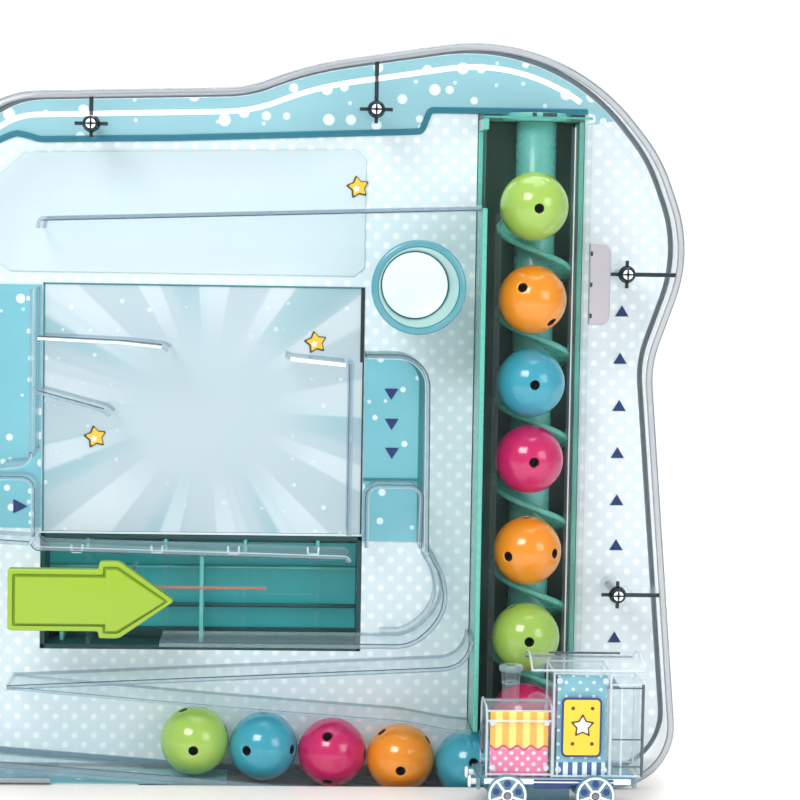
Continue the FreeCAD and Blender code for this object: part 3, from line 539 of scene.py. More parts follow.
def outline(n=22):
    """Points and inward normals round the case, starting at the lower left corner, going up."""
    pts, nor = [], []
    N = len(OUT)
    for i in range(N):
        x, z, r = OUT[i]
        p = Vector((x, z))
        a = Vector(OUT[i - 1][:2])
        b = Vector(OUT[(i + 1) % N][:2])
        d1 = (a - p).normalized()
        d2 = (b - p).normalized()
        ang = d1.angle(d2)
        t = r / math.tan(ang / 2)
        bis = (d1 + d2).normalized()
        c = p + bis * (r / math.sin(ang / 2))
        s = p + d1 * t
        e = p + d2 * t
        a0 = math.atan2(s.y - c.y, s.x - c.x)
        a1 = math.atan2(e.y - c.y, e.x - c.x)
        da = (a1 - a0 + math.pi) % (2 * math.pi) - math.pi
        m = max(4, int(n * abs(da) / 1.2))
        convex = (da < 0)      # travelling clockwise round the case
        for k in range(m + 1):
            th = a0 + da * k / m
            q = Vector((math.cos(th), math.sin(th)))
            pts.append(c + q * r)
            nor.append(-q if convex else q)
    return pts, nor


OP, ON = outline()


def ring_at(d, y):
    return [(p.x + n.x * d, y, p.y + n.y * d) for p, n in zip(OP, ON)]

def by_normal(o, rules):
    """rules: [(axis vector, min dot, material index)] applied to every face, first match wins."""
    for p in o.data.polygons:
        for a, d, i in rules:
            if p.normal.dot(Vector(a)) > d:
                p.material_index = i
                break


def prism_x(pts, x0, x1, mi=0):
    """Closed prism of a Y-Z polygon between two X planes."""
    n = len(pts)
    v = [(x0, y, z) for y, z in pts] + [(x1, y, z) for y, z in pts]
    f = [tuple(range(n)), tuple(range(2 * n - 1, n - 1, -1))]
    for k in range(n):
        f.append((k, (k + 1) % n, n + (k + 1) % n, n + k))
    return v, f, [mi] * len(f)


def prism_z(pts, z0, z1, mi=0):
    n = len(pts)
    v = [(x, y, z0) for x, y in pts] + [(x, y, z1) for x, y in pts]
    f = [tuple(range(n)), tuple(range(2 * n - 1, n - 1, -1))]
    for k in range(n):
        f.append((k, (k + 1) % n, n + (k + 1) % n, n + k))
    return v, f, [mi] * len(f)


def rounded(x0, x1, z0, z1, r, n=6):
    """Rounded rectangle, counter-clockwise."""
    return (arc(x1 - r, z0 + r, r, -90, 0, n) + arc(x1 - r, z1 - r, r, 0, 90, n)
            + arc(x0 + r, z1 - r, r, 90, 180, n) + arc(x0 + r, z0 + r, r, 180, 270, n))


def shrink(poly, t):
    """Closed polygon moved inwards by t (counter-clockwise input)."""
    n = len(poly)
    out = []
    for i in range(n):
        a, p, b = Vector(poly[i - 1]), Vector(poly[i]), Vector(poly[(i + 1) % n])
        d1, d2 = (p - a).normalized(), (b - p).normalized()
        n1, n2 = Vector((-d1.y, d1.x)), Vector((-d2.y, d2.x))
        m = n1 + n2
        m = m / max(0.35, m.dot(n1) if m.dot(n1) > 0 else 0.35) if m.length > 1e-6 else n1
        out.append((p.x + m.x * t, p.y + m.y * t))
    return out


def tube(path3, r, n=10, mi=0, cap=True):
    """Round rod along a 3-D path."""
    v, f, i = [], [], []
    up0 = Vector((0, 1, 0))
    P3 = [Vector(p) for p in path3]
    for k, p in enumerate(P3):
        a = P3[max(0, k - 1)]
        b = P3[min(len(P3) - 1, k + 1)]
        d = (b - a).normalized()
        u = d.cross(up0)
        if u.length < 0.1:
            u = d.cross(Vector((1, 0, 0)))
        u.normalize()
        w = d.cross(u)
        for j in range(n):
            t = 2 * math.pi * j / n
            q = p + u * (r * math.cos(t)) + w * (r * math.sin(t))
            v.append((q.x, q.y, q.z))
    for k in range(len(P3) - 1):
        for j in range(n):
            f.append((k * n + j, k * n + (j + 1) % n, (k + 1) * n + (j + 1) % n, (k + 1) * n + j))
            i.append(mi)
    if cap:
        f.append(tuple(range(n))); i.append(mi)
        f.append(tuple(range(len(v) - 1, len(v) - n - 1, -1))); i.append(mi)
    return v, f, i


# ------------------------------------------------------------------ clear case: rim, seam, beads, bosses
YB = 4.0


def sweep(name, prof, mats, idx, seq, closed, **kw):
    v, f, i = [], [], []
    m = len(prof)
    for (px, pz), (nx, nz) in seq:
        for d, y in prof:
            v.append((px + nx * d, y, pz + nz * d))
    cnt = len(seq)
    for k in range(cnt if closed else cnt - 1):
        a, b = k * m, ((k + 1) % cnt) * m
        for j in range(m):
            j2 = (j + 1) % m
            f.append((a + j, a + j2, b + j2, b + j))
            i.append(idx[j])
    if not closed:
        f.append(tuple(range(m))); i.append(idx[0])
        f.append(tuple(range(len(v) - 1, len(v) - m - 1, -1))); i.append(idx[0])
    return make(name, v, f, mats, idx=i, **kw)


FULL = [((p.x, p.y), (n.x, n.y)) for p, n in zip(OP, ON)]
OPEN = [((-98.0, 36.0), (0.0, 1.0))] + FULL + [((114.0, 36.0), (0.0, 1.0))]
rim_prof = [(0.0, YB), (0.0, -28.4), (0.25, -29.6), (0.9, -30.6), (1.9, -31.05), (2.7, -31.1), (3.0, -30.7), (2.9, -29.1),
            (2.0, -28.0), (2.0, YB)]
# the rim's faces run in clear, grey and dark bands that paint the refraction lines of the clear rim: painted shade
sweep("cover_rim_clear", rim_prof, [M_CLEAR2, M_RIMG, M_EDGE_SHADE_JOINT, M_EDGE_HILITE], [0, 2, 2, 1, 1, 1, 2, 1, 0, 1], OPEN, False,
      slot="clear_plastic", replaces=["cover_rim"], smooth=50)
sweep("rim_seam_line", [(-0.04, YB - 1.6), (-0.04, YB - 0.1), (0.9, YB - 0.1), (0.9, YB - 1.6)], [M_EDGE_SHADE_JOINT], [0] * 4, OPEN, False,
      slot="clear_plastic", smooth=50)


def part_of(x0, x1, zmin):
    return [q for q in FULL if q[0][1] > zmin and x0 <= q[0][0] <= x1]


# the inner bead is coloured with the glowing white highlight material: painted highlight
sweep("front_inner_bead", [(8.3, -28.95), (8.5, -27.9), (9.3, -27.5), (10.1, -27.9), (10.3, -28.95)], [M_HILITE], [0] * 5,
      part_of(-150, 110, 262.0), False, slot="clear_plastic", smooth=60, replaces=["cover_bead"])
sweep("front_side_bead", [(8.3, -28.95), (8.5, -28.3), (9.3, -28.0), (10.1, -28.3), (10.3, -28.95)], [M_CLEAR2] , [0] * 5,
      part_of(110, 152, 205.0), False, slot="clear_plastic", smooth=60)


BOSSES = [(-84.3, 292.1, 0, 1), (24.6, 299.5, 0, 1), (122.7, 237.7, 1, 0), (121.9, 112.6, 1, 0)]


def wall_hit(x, z, dx, dz):
    """Distance from (x, z) along (dx, dz) to the inner face of the rim."""
    best = 999.0
    P2 = [(p.x + n.x * 2.1, p.y + n.y * 2.1) for p, n in zip(OP, ON)]
    for a, b in zip(P2, P2[1:] + P2[:1]):
        ex, ez = b[0] - a[0], b[1] - a[1]
        den = dx * ez - dz * ex
        if abs(den) < 1e-9:
            continue
        t = ((a[0] - x) * ez - (a[1] - z) * ex) / den
        s = ((a[0] - x) * dz - (a[1] - z) * dx) / den
        if t > 0 and -1e-6 <= s <= 1 + 1e-6:
            best = min(best, t)
    return best


parts, screws = [], []
for bx, bz, dx, dz in BOSSES:
    parts.append(lathe([(1.55, -28.9), (3.4, -28.9), (3.6, -28.6), (3.6, -0.4), (3.3, -0.1), (1.55, -0.1)], (bx, 0, bz), n=36, closed=True))
    for r in ([(bx - 6.4, bx + 6.4, bz - 0.75, bz + 0.75)], [(bx - 0.75, bx + 0.75, bz - 5.4, bz + 5.4)]):
        for a, b, c, d in r:
            parts.append(block(a, b, -28.9, -8.1, c, d, 1))
    L = wall_hit(bx, bz, dx, dz)
    if dx:
        parts.append(block(bx + 3.0, bx + L, -28.95, -8.0, bz - 0.85, bz + 0.85, 1))
    if dz:
        parts.append(block(bx - 0.85, bx + 0.85, -28.95, -8.0, bz + 3.0, bz + L, 1))
V_, F_, I_ = join_parts(parts)
o = make("cover_boss_posts", V_, F_, [M_CLEAR2, M_CLEAR2, M_RIBK], idx=I_, slot="clear_plastic", replaces=["cover_bosses"], bevel=0.15, smooth=35)
for p in o.data.polygons:
    if p.normal.y < -0.8 and p.center.y < -0.027:
        p.material_index = 2
for bx, bz, dx, dz in BOSSES:
    # pan head with a cross recess, made as one lathe with a sunk centre and four slot walls
    # the middle of each head takes the white highlight material: painted highlight
    screws.append(lathe([(0.0, -31.9), (0.9, -31.9), (1.1, -32.3), (1.9, -32.5), (2.6, -32.1), (2.9, -31.5), (2.9, -31.02), (1.45, -31.02),
                         (1.45, -0.4), (0.0, 0.0)], (bx, 0, bz), n=32, mi=[2, 2, 2, 0, 0, 0, 0, 0, 0]))
    for w, h in ((1.9, 0.32), (0.32, 1.9)):
        screws.append(block(bx - w, bx + w, -32.52, -32.3, bz - h, bz + h, 0))
V_, F_, I_ = join_parts(screws)
make("cover_screw_heads", V_, F_, [M_BLUED, M_DARK, M_HILITE], idx=I_, slot="steel_screw", replaces=["cover_screws"], smooth=35)

# ------------------------------------------------------------------ printed playfield
P2 = [(p.x + n.x * 2.7, p.y + n.y * 2.7) for p, n in zip(OP, ON)]
top = [q for q in P2 if (q[1] > 279.5 and q[0] < 0) or (q[1] > 295.9 and q[0] > 0)]
low = [(109.6, 295.9), (109.6, 300.8), (47.2, 300.8), (44.3, 293.0), (42.0, 292.4), (34.5, 291.8), (-53.0, 288.0), (-106.7, 286.5),
       (-110.0, 287.6), (-115.5, 288.8), (-119.0, 287.6), (-124.6, 284.7), (-131.0, 281.4), (-136.0, 279.6)]
v, f, i = prism(top + low, -0.3, 0.0)
make("print_band", v, f, [M_BAND], idx=i, slot="board_print", smooth=0)
LINE = [(-136.0, 279.4), (-131.0, 281.4), (-124.6, 284.7), (-119.0, 287.6), (-115.5, 288.8), (-110.0, 287.6), (-106.7, 286.5), (-53.0, 288.0),
        (34.5, 291.8), (43.6, 292.3), (46.8, 300.7), (109.4, 301.0)]
v, f, i = plate(offset_path(soften(LINE, 1.6, 6), -1.25), 2.5, -1.0, 0.0, 1, 0.01)
make("teal_border_line", v, f, [M_TEAL_LINE], smooth=40, bevel=0.5, slot="teal_plastic")

tri = []
for x, z in [(124.8, 222.4), (124.5, 203.5), (124.6, 184.6), (124.3, 165.7), (124.5, 146.7), (124.6, 128.6), (124.8, 91.2), (125.0, 72.3)]:
    tri.append(prism([(x - 2.7, z - 2.1), (x + 2.7, z - 2.1), (x, z + 2.3)], -0.35, 0.0))
V_, F_, I_ = join_parts(tri)
make("lane_marks_up", V_, F_, [M_TRI], idx=I_, smooth=0, slot="board_print")
tri = []
for x, z in [(33.3, 188.0), (33.6, 176.0), (33.9, 164.4)]:
    tri.append(prism([(x - 2.8, z + 2.2), (x, z - 2.3), (x + 2.8, z + 2.2)], -0.95, -0.6))
tri.append(prism([(-116.0, 144.3), (-116.0, 138.5), (-110.4, 141.4)], -0.95, -0.6))
V_, F_, I_ = join_parts(tri)
make("lane_marks_down", V_, F_, [M_TRI], idx=I_, smooth=0, slot="board_print")


def star(cx, cz, R, y0, y1, rot=90.0, inner=0.5, mi=0):
    pts = []
    for k in range(10):
        r = R if k % 2 == 0 else R * inner
        a = math.radians(rot + 36 * k)
        pts.append((cx + r * math.cos(a), cz + r * math.sin(a)))
    # blunt the tips
    out = []
    for k in range(10):
        p = Vector(pts[k]); a = Vector(pts[k - 1]); b = Vector(pts[(k + 1) % 10])
        t = 0.16 if k % 2 == 0 else 0.1
        out.append(tuple(p.lerp(a, t))); out.append(tuple(p)) if k % 2 else None; out.append(tuple(p.lerp(b, t)))
    return prism(out, y0, y1, mi, mi)


st = []
for cx, cz, yb in ((2.9, 208.1, 0.0), (-83.9, 169.3, 0.0), (18.7, 269.8, 0.0)):
    d = -1.0 if cz > 260 else 0.0
    st.append(star(cx, cz, 5.0, -0.35 + d, yb, 100, 0.56, 1))
    st.append(star(cx + 0.2, cz + 0.1, 4.0, -0.6 + d, -0.3 + d, 100, 0.56, 0))
    st.append(star(cx - 0.5, cz - 0.6, 1.5, -0.7 + d, -0.55 + d, 100, 0.5, 2))
V_, F_, I_ = join_parts(st)
make("print_stars", V_, F_, [M_YELLOW, M_OUTLN, M_WHITE], idx=I_, smooth=0, slot="board_print")

# plain pale sign panel with a soft bevel
PANEL = [(-122.5, 238.0), (-118.0, 234.6), (18.0, 234.6), (22.0, 238.0), (22.0, 281.0), (18.0, 284.6), (-112.0, 281.4), (-122.5, 272.0)]
v, f, i = prism(PANEL, -1.0, 0.0)
make("sign_panel", v, f, [M_PANEL], idx=i, bevel=0.45, seg=3, slot="panel_pale", replaces=["logo_panel"])

# display card with a dark strip on its right in the dark_shadow material (painted shadow) and a thin frame
DX0, DX1, DZ0, DZ1 = -104.4, 22.1, 131.8, 230.0
v, f, i = block(DX0, DX1, 0.0, 0.8, DZ0, DZ1)
make("display_card_print", v, f, [M_CARD], idx=i, smooth=0, slot="card_print", replaces=["display_card"])
fr = [block(20.7, 22.2, -0.5, 0.0, 200.5, 230.1), block(21.7, 22.2, -0.4, 0.0, 131.8, 200.5), block(DX0 - 0.3, 22.2, -0.4, 0.0, 229.7, 230.3, 1),
      block(DX0 - 0.3, DX0 + 0.3, -0.4, 0.0, 131.6, 230.3, 1)]
V_, F_, I_ = join_parts(fr)
make("display_frame_lines", V_, F_, [M_DARK, M_CHSIDE], idx=I_, smooth=0, slot="board_print")

# ------------------------------------------------------------------ clear lanes
YF, YR = -28.9, -0.05
# clear lane materials by index: 0 clear, 1 grey edge (painted shade), 2 white line (painted highlight), 3 dark line
# (painted shade), 4 glowing white bar (painted highlight)
CL = [M_CLEAR2, M_EDGE, M_EDGE_HILITE, M_EDGE_SHADE_JOINT, M_HILITE]


def lane(name, plates, replaces, extra=(), body="case", bevel=0.18):
    V_, F_, I_ = join_parts([plate(*p) for p in plates] + list(extra))
    return make(name, V_, F_, CL, idx=I_, body=body, slot="clear_plastic", replaces=replaces, bevel=bevel, smooth=35)


def trace(path, side, t, y0, y1, w, mi, r=2.5):
    """Thin raised strip that follows one edge of a lane wall; its material, chosen by mi, paints a dark line (painted
    shade) or a white line (painted highlight) along the clear edge.
    """
    p = offset_path(soften(clean(path), r), side * t)
    a = offset_path(p, -w / 2)
    v, f, i = plate(a, w, y0, y1, 1, 0.01)
    return v, f, [mi] * len(i)


lane("top_rail_clear", [([(-105.2, 252.0), (-104.6, 255.2), (-103.0, 256.5), (65.9, 263.2)], 1.6, YF, -1.05, -1, 1.5)], ["top_rail"],
     [trace([(-103.0, 256.5), (65.9, 263.2)], 1, -1.6, YF - 0.04, YF + 0.5, 0.5, 3), trace([(-103.0, 256.5), (65.9, 263.2)], 1, 0.0, YF - 0.04, YF + 0.5, 0.3, 2)])
lane("ledges_clear", [([(-104.2, 210.5), (-72.0, 209.3), (-56.5, 207.9), (-53.9, 206.2)], 1.5, YF, YR, -1, 1.5),
                      ([(-8.6, 205.0), (-7.0, 204.0), (14.4, 202.0)], 1.5, YF, YR, -1, 1.0),
                      ([(-104.2, 189.6), (-78.5, 182.8), (-75.9, 180.6)], 1.5, YF, YR, -1, 1.5)], ["display_ledges"],
     [trace([(-104.2, 210.5), (-72.0, 209.3), (-56.5, 207.9)], 1, 0.0, YF - 0.04, YF + 0.5, 0.45, 3, 1.5),
      trace([(-7.0, 203.6), (14.4, 201.6)], 1, -0.6, YF - 0.06, YF + 0.4, 1.5, 4, 1.0),
      trace([(-104.2, 209.9), (-72.0, 208.7), (-56.5, 207.2)], 1, -0.35, YF - 0.03, YF + 0.4, 1.0, 4, 1.5),
      trace([(-104.2, 189.6), (-78.5, 182.8)], 1, 0.0, YF - 0.04, YF + 0.5, 0.45, 3, 1.5)])
lane("chute_post_clear", [([(15.8, 134.7), (15.8, 201.6)], 1.8, YF, YR, -1, 1.0)], ["chute_post"],
     [block(15.7, 16.0, YF - 0.04, YF + 0.4, 134.7, 201.6, 3)])
CHUTE = [(22.5, 203.6)] + arc(34.6, 192.7, 10.9, 90, 0, 10) + [(46.0, 128.6)]
lane("drop_chute_clear", [(CHUTE, 1.6, YF, YR, 1, 0.5)], ["drop_chute"],
     [trace(CHUTE, 1, 1.6, YF - 0.05, YF + 0.6, 0.5, 3, 0.5), trace(CHUTE, 1, 0.0, YF - 0.05, YF + 0.6, 0.4, 2, 0.5)])
cb = [(22.6, 129.0), (44.3, 129.0), (44.3, 192.0)] + arc(34.3, 192.5, 10.0, 4, 90, 12) + [(22.6, 202.5)]
v, f, i = prism(cb, -0.6, 0.0)
make("chute_backing_print", v, f, [M_LANE], idx=i, smooth=0, slot="board_print", replaces=["chute_backing"])
cb2 = [(44.3, 129.0), (46.4, 128.9), (46.3, 192.0)] + arc(34.3, 192.5, 12.1, 2, 90, 12) + [(22.6, 204.6), (22.6, 202.5)] + arc(34.3, 192.5, 10.0, 90, 4, 12) + [(44.3, 192.0)]
v, f, i = prism(cb2, -0.7, 0.0)
make("chute_side_strip", v, f, [M_CHSIDE], idx=i, smooth=0, slot="teal_plastic")
# lower half of the chute: a separate rounded guard inside the lane
GUARD = [(24.4, 128.8), (24.4, 148.5)] + arc(28.4, 148.5, 4.0, 180, 90, 6) + [(40.6, 152.5)] + arc(40.6, 148.5, 4.0, 90, 0, 6) + [(44.2, 128.8)]
V_, F_, I_ = join_parts([plate(GUARD, 1.2, -20.0, -1.0, 1, 0.01), trace(GUARD, 1, 0.0, -20.06, -19.5, 0.35, 2, 0.01),
                         trace(GUARD, 1, 1.2, -20.06, -19.5, 0.35, 3, 0.01)])
make("chute_guard_clear", V_, F_, CL, idx=I_, slot="clear_plastic", bevel=0.15, smooth=35)
v, f, i = block(22.6, 44.3, -0.95, -0.55, 153.2, 154.4)
make("chute_mid_line", v, f, [M_CHSIDE], idx=i, smooth=0, slot="teal_plastic")

LC = [(-105.9, 228.5), (-105.9, 164.5)] + arc(-112.4, 166.0, 6.5, -13, -78, 6) + [(-118.0, 158.9)]
lane("left_lane_clear", [([(-137.6, 132.6), (-107.3, 130.97)], 1.6, YF, -0.65, -1, 1.0), (LC, 1.4, YF, -0.65, -1, 0.5)], ["left_lane"],
     [trace(LC, 1, 0.0, YF - 0.04, YF + 0.5, 0.4, 2, 0.5), trace([(-137.6, 132.6), (-107.3, 130.97)], 1, 0.0, YF - 0.04, YF + 0.5, 0.4, 3, 0.5)])
LGD = [(-134.0, 131.6), (-134.0, 150.0)] + arc(-130.0, 150.0, 4.0, 180, 90, 6) + [(-111.0, 154.0)] + arc(-111.0, 150.0, 4.0, 90, 0, 6) + [(-107.0, 131.6)]
V_, F_, I_ = join_parts([plate(LGD, 1.2, -20.0, -1.0, 1, 0.01), trace(LGD, 1, 0.0, -20.06, -19.5, 0.35, 2, 0.01), trace(LGD, 1, 1.2, -20.06, -19.5, 0.35, 3, 0.01)])
make("left_guard_clear", V_, F_, CL, idx=I_, slot="clear_plastic", bevel=0.15, smooth=35)
v, f, i = block(-134.5, -105.3, -0.6, 0.0, 133.0, 229.4)
make("left_backing_print", v, f, [M_LANE], idx=i, smooth=0, slot="board_print", replaces=["left_backing"])

BOWL = [(-56.4, 92.1), (38.5, 92.1), (44.1, 94.4), (49.3, 99.2), (52.9, 105.0), (54.0, 111.1), (52.4, 119.6), (47.8, 127.6)]
lane("catch_tray_clear", [(BOWL, 1.5, YF, YR, -1, 4.0)], ["catch_tray"],
     [trace(BOWL, 1, 0.0, YF - 0.05, YF + 0.6, 0.45, 3, 4.0), trace(BOWL, 1, -1.5, YF - 0.05, YF + 0.6, 0.45, 1, 4.0)])
BOWL2 = [(30.0, 93.6), (38.0, 93.6), (42.9, 95.8), (47.9, 100.2), (51.1, 105.8), (52.2, 111.1), (50.6, 119.0), (46.4, 126.4)]
V_, F_, I_ = join_parts([plate(BOWL2, 0.9, -12.0, -0.6, 1, 4.0)])
make("catch_tray_inner_lip", V_, F_, CL, idx=I_, slot="clear_plastic", bevel=0.15, smooth=35)
PR = [(-105.4, 130.9), (-104.0, 129.0), (16.0, 126.6), (17.6, 124.6)]
lane("pocket_rail_clear", [(PR, 1.4, YF, YR, -1, 1.0)], ["pocket_rail"],
     [trace(PR, 1, 0.0, YF - 0.05, YF + 0.6, 0.45, 2, 1.0), trace(PR, 1, -1.4, YF - 0.05, YF + 0.6, 0.4, 3, 1.0)])
UP = [(-115.3, 74.6), (-60.0, 77.4), (56.0, 83.3), (60.8, 85.4), (63.6, 89.2), (64.6, 94.0)]
LO = [(-115.3, 74.2), (-54.0, 69.0), (-28.0, 66.9), (39.0, 62.1), (58.0, 58.6), (65.7, 58.0)]
lane("return_ramp_clear", [(UP, 1.4, YF, YR, -1, 3.0), (LO, 1.2, YF, YR, -1, 3.0)], ["return_ramp"],
     [trace(UP, 1, 0.0, YF - 0.05, YF + 0.6, 0.4, 3, 3.0), trace(UP, 1, -1.4, YF - 0.05, YF + 0.6, 0.4, 1, 3.0),
      trace(LO, 1, 0.0, YF - 0.05, YF + 0.6, 0.35, 1, 3.0), lathe([(0.0, YF), (1.3, YF), (1.3, YR), (0.0, YR)], (-115.3, 0, 73.6), n=20)])


def lane_z(x, up=0.0):
    return 42.5 + (65.9 - x) * 0.0768 + up * math.hypot(1, 0.0768)


XL, XR = -135.5, 105.8
FLR = [(XL, lane_z(XL, -13.85)), (XR, lane_z(XR, -13.85))]
LIPF = [(XL, lane_z(XL, -14.35)), (64.0, lane_z(64.0, -14.35))]
lane("bottom_rail_clear", [(FLR, 1.5, YF, YR, -1, 1.0), (LIPF, 2.5, YF, YF + 1.0, 1, 1.0), (LIPF, 2.5, YR - 1.0, YR, 1, 1.0)], ["bottom_rail"],
     [trace([(a, b + 2.5) for a, b in LIPF], 1, 0.0, YF - 0.05, YF + 0.5, 0.35, 3, 1.0)])

dk = [(-136.0, -27.5), (-30.0, -27.5), (-30.0, -1.0), (-136.0, -1.0)]
v, f, i = prism_z(dk, 36.02, 36.3)
make("deck_print_strip", v, f, [M_DECK], idx=i, smooth=0, slot="board_print")

# ------------------------------------------------------------------ pocket recess
px0, px1, pz0, pz1 = -105.1, 22.4, 84.6, 130.6
# the recess back glows in the pocket wall material (painted light); its four side walls take the dark pocket copy
# (painted shade)
pk = [block(px0, px1, 24.4, 26.0, pz0, pz1, 0), block(px0, px0 + 1.6, 0.02, 24.5, pz0, pz1, 1), block(px1 - 1.6, px1, 0.02, 24.5, pz0, pz1, 1),
      block(px0, px1, 0.02, 24.5, pz1 - 1.6, pz1, 1), block(px0, px1, 0.02, 24.5, pz0, pz0 + 1.6, 1)]
V_, F_, I_ = join_parts(pk)
make("pocket_recess", V_, F_, [M_POCK, M_POCK_SHADE], idx=I_, smooth=0, slot="teal_plastic", replaces=["pocket_tray"])
dv = []
for x in (-86.4, -55.6, -23.9, 5.0):
    dv.append(block(x - 0.8, x + 0.8, 0.3, 24.35, pz0 + 1.65, 124.0, 0))
    dv.append(block(x - 0.7, x + 0.7, 0.3, 24.35, 124.1, pz1 - 1.65, 1))
V_, F_, I_ = join_parts(dv)
o = make("pocket_divider_walls", V_, F_, [M_CLEAR3, M_POCK_L], idx=I_, bevel=0.3, slot="teal_plastic", replaces=["pocket_dividers"])
# shadowed bands along the top and the floor, and a stepped sill in the middle of the recess
bd = [block(px0 + 1.6, px1 - 1.6, 22.6, 24.4, 125.0, pz1 - 1.6, 0), block(px0 + 1.6, px1 - 1.6, 21.0, 24.4, pz0 + 1.6, 90.0, 0),
      block(px0 + 1.6, px1 - 1.6, 20.5, 24.4, 98.6, 99.8, 0), block(px0 + 1.6, px1 - 1.6, 19.5, 24.4, 114.6, 115.6, 1)]
V_, F_, I_ = join_parts(bd)
make("pocket_back_steps", V_, F_, [M_POCK_SHADE, M_POCK_L], idx=I_, bevel=0.3, slot="teal_plastic")
rb = []
for x, za, zb in ((-97.3, 86.3, 90.0), (-41.4, 86.3, 121.4)):
    rb.append(block(x - 0.9, x + 0.9, 8.0, 24.4, za, zb, 0))
V_, F_, I_ = join_parts(rb)
make("pocket_ribs", V_, F_, [M_POCK_L], idx=I_, bevel=0.4, slot="teal_plastic")
hk = []
for x in (-90.7, -59.0, -28.6, 3.1):
    hk.append(plate([(x - 2.6, 126.4), (x - 2.4, 123.2), (x + 2.4, 123.2), (x + 2.6, 126.4)], 0.8, -3.0, -0.1, 1, 1.2))
V_, F_, I_ = join_parts(hk)
make("pocket_clips", V_, F_, [M_WHITE, M_WHITE], idx=I_, bevel=0.2, slot="white_plastic")
rl = [block(-65.1, -15.7, -1.7, -1.1, 109.3, 110.1, 0), block(-65.9, -14.9, -1.1, 0.4, 108.8, 110.6, 1)]
V_, F_, I_ = join_parts(rl)
make("pocket_stop_bar", V_, F_, [M_RED, M_CLEAR2], idx=I_, bevel=0.2, slot="clear_plastic")

# ------------------------------------------------------------------ ball cup
PX, PZ = 42.0, 231.5
v, f, i = lathe([(15.5, -31.02), (15.5, -32.0), (15.8, -32.5), (16.3, -32.7), (16.9, -32.5), (17.6, -32.45), (18.1, -32.1), (18.3, -31.5), (18.3, -31.02)],
                (PX, 0, PZ), n=96, closed=True, mi=[1, 1, 0, 0, 0, 0, 0, 1, 1])
make("port_ring_round", v, f, [M_RINGB, M_TEAL_LINE], idx=i, smooth=50, slot="ring_blue", replaces=["port_ring"])
# the cup's inner wall glows faintly: painted light
v, f, i = lathe([(16.2, -30.98), (15.6, -16.0), (14.9, 0.0), (13.5, 0.0), (14.4, -15.0), (15.1, -28.0), (15.4, -30.98)], (PX, 0, PZ), n=96, closed=True,
                mi=[1, 1, 0, 0, 0, 0, 0])
make("port_cup_wall", v, f, [M_CUP_GLOW, M_CLEAR2], idx=i, smooth=50, slot="teal_plastic", replaces=["port_cup"])
# the white disc glows a little: painted light
v, f, i = lathe([(0.0, 0.35), (10.0, 0.3), (13.0, 0.1), (13.4, 0.04), (16.1, 0.04), (16.1, 1.92), (0.0, 1.92)], (PX, 0, PZ), n=96)
make("port_disc_white", v, f, [M_DISC_GLOW], idx=i, smooth=50, slot="white_plastic", replaces=["port_disc"])
v, f, i = lathe([(13.0, 0.0), (13.0, -0.35), (13.7, -0.5), (13.7, 0.0)], (PX, 0, PZ), n=96, closed=True)
make("port_seat_line", v, f, [M_TEAL_LINE], idx=i, smooth=50, slot="teal_plastic")

# ------------------------------------------------------------------ ball lift
LX0, LX1, LZ0, LZ1 = 66.2, 108.2, 24.05, 297.0
F0 = -28.8
left = [(26.4, LZ0), (26.4, LZ1), (F0, LZ1), (F0, 292.6), (0.2, 292.6), (0.2, 262.4), (F0, 262.4), (F0, 57.8), (0.4, 57.8), (0.4, LZ0)]
parts = [prism_x(left, LX0, LX0 + 2.0), block(LX1 - 2.0, LX1, -0.5, 26.4, LZ0, LZ1), block(LX0 + 1.9, LX1 - 1.9, 24.4, 26.4, LZ0, LZ1)]
V_, F_, I_ = join_parts(parts)
o = make("lift_channel", V_, F_, [M_TEAL, M_TEAL_LITE, M_TEAL_SHADE], idx=I_, smooth=30, bevel=0.35, slot="teal_plastic", replaces=["lift_housing"])
# front-facing faces take the lighter teal (painted light); the inner side walls and the inner face of the back wall
# take the dark teal copy (painted shade)
by_normal(o, [((0, -1, 0), 0.8, 1)])
for p in o.data.polygons:
    c = p.center / MM
    if abs(p.normal.x) > 0.8 and LX0 + 1.0 < c.x < LX1 - 1.0:
        p.material_index = 2
    if p.normal.y < -0.8 and c.y > 20:
        p.material_index = 2
# side ribs of the channel and the closing strips beside the screw, both in the dark teal copy: painted shade
rs = [block(LX0 + 2.0, LX0 + 3.4, 2.0, 3.2, 58.0, LZ1 - 0.5, 0),
      block(LX1 - 3.4, LX1 - 2.0, 2.0, 3.2, 28.0, LZ1 - 0.5, 0)]
V_, F_, I_ = join_parts(rs)
make("lift_side_strips", V_, F_, [M_TEAL_SHADE, M_TEAL_LITE], idx=I_, bevel=0.25, slot="teal_plastic")
GL, GR = 87.5 - 13.9, 87.5 + 13.9
# the thin strip on the front of the right guide takes the white edge material: painted highlight
gd = [block(GL - 1.6, GL, -28.98, -16.0, 59.8, 260.4), block(GR, GR + 1.6, -28.98, -16.0, 28.0, 294.0), block(GR - 0.1, GR + 0.45, -29.02, -28.7, 28.0, 294.0, 1), block(LX1 - 2.0, LX1, F0, -0.55, 36.2, LZ1)]
V_, F_, I_ = join_parts(gd)
o = make("lift_guides_clear", V_, F_, [M_CLEAR3, M_EDGE_HILITE], idx=I_, bevel=0.25, slot="clear_plastic", replaces=["lift_guides"])


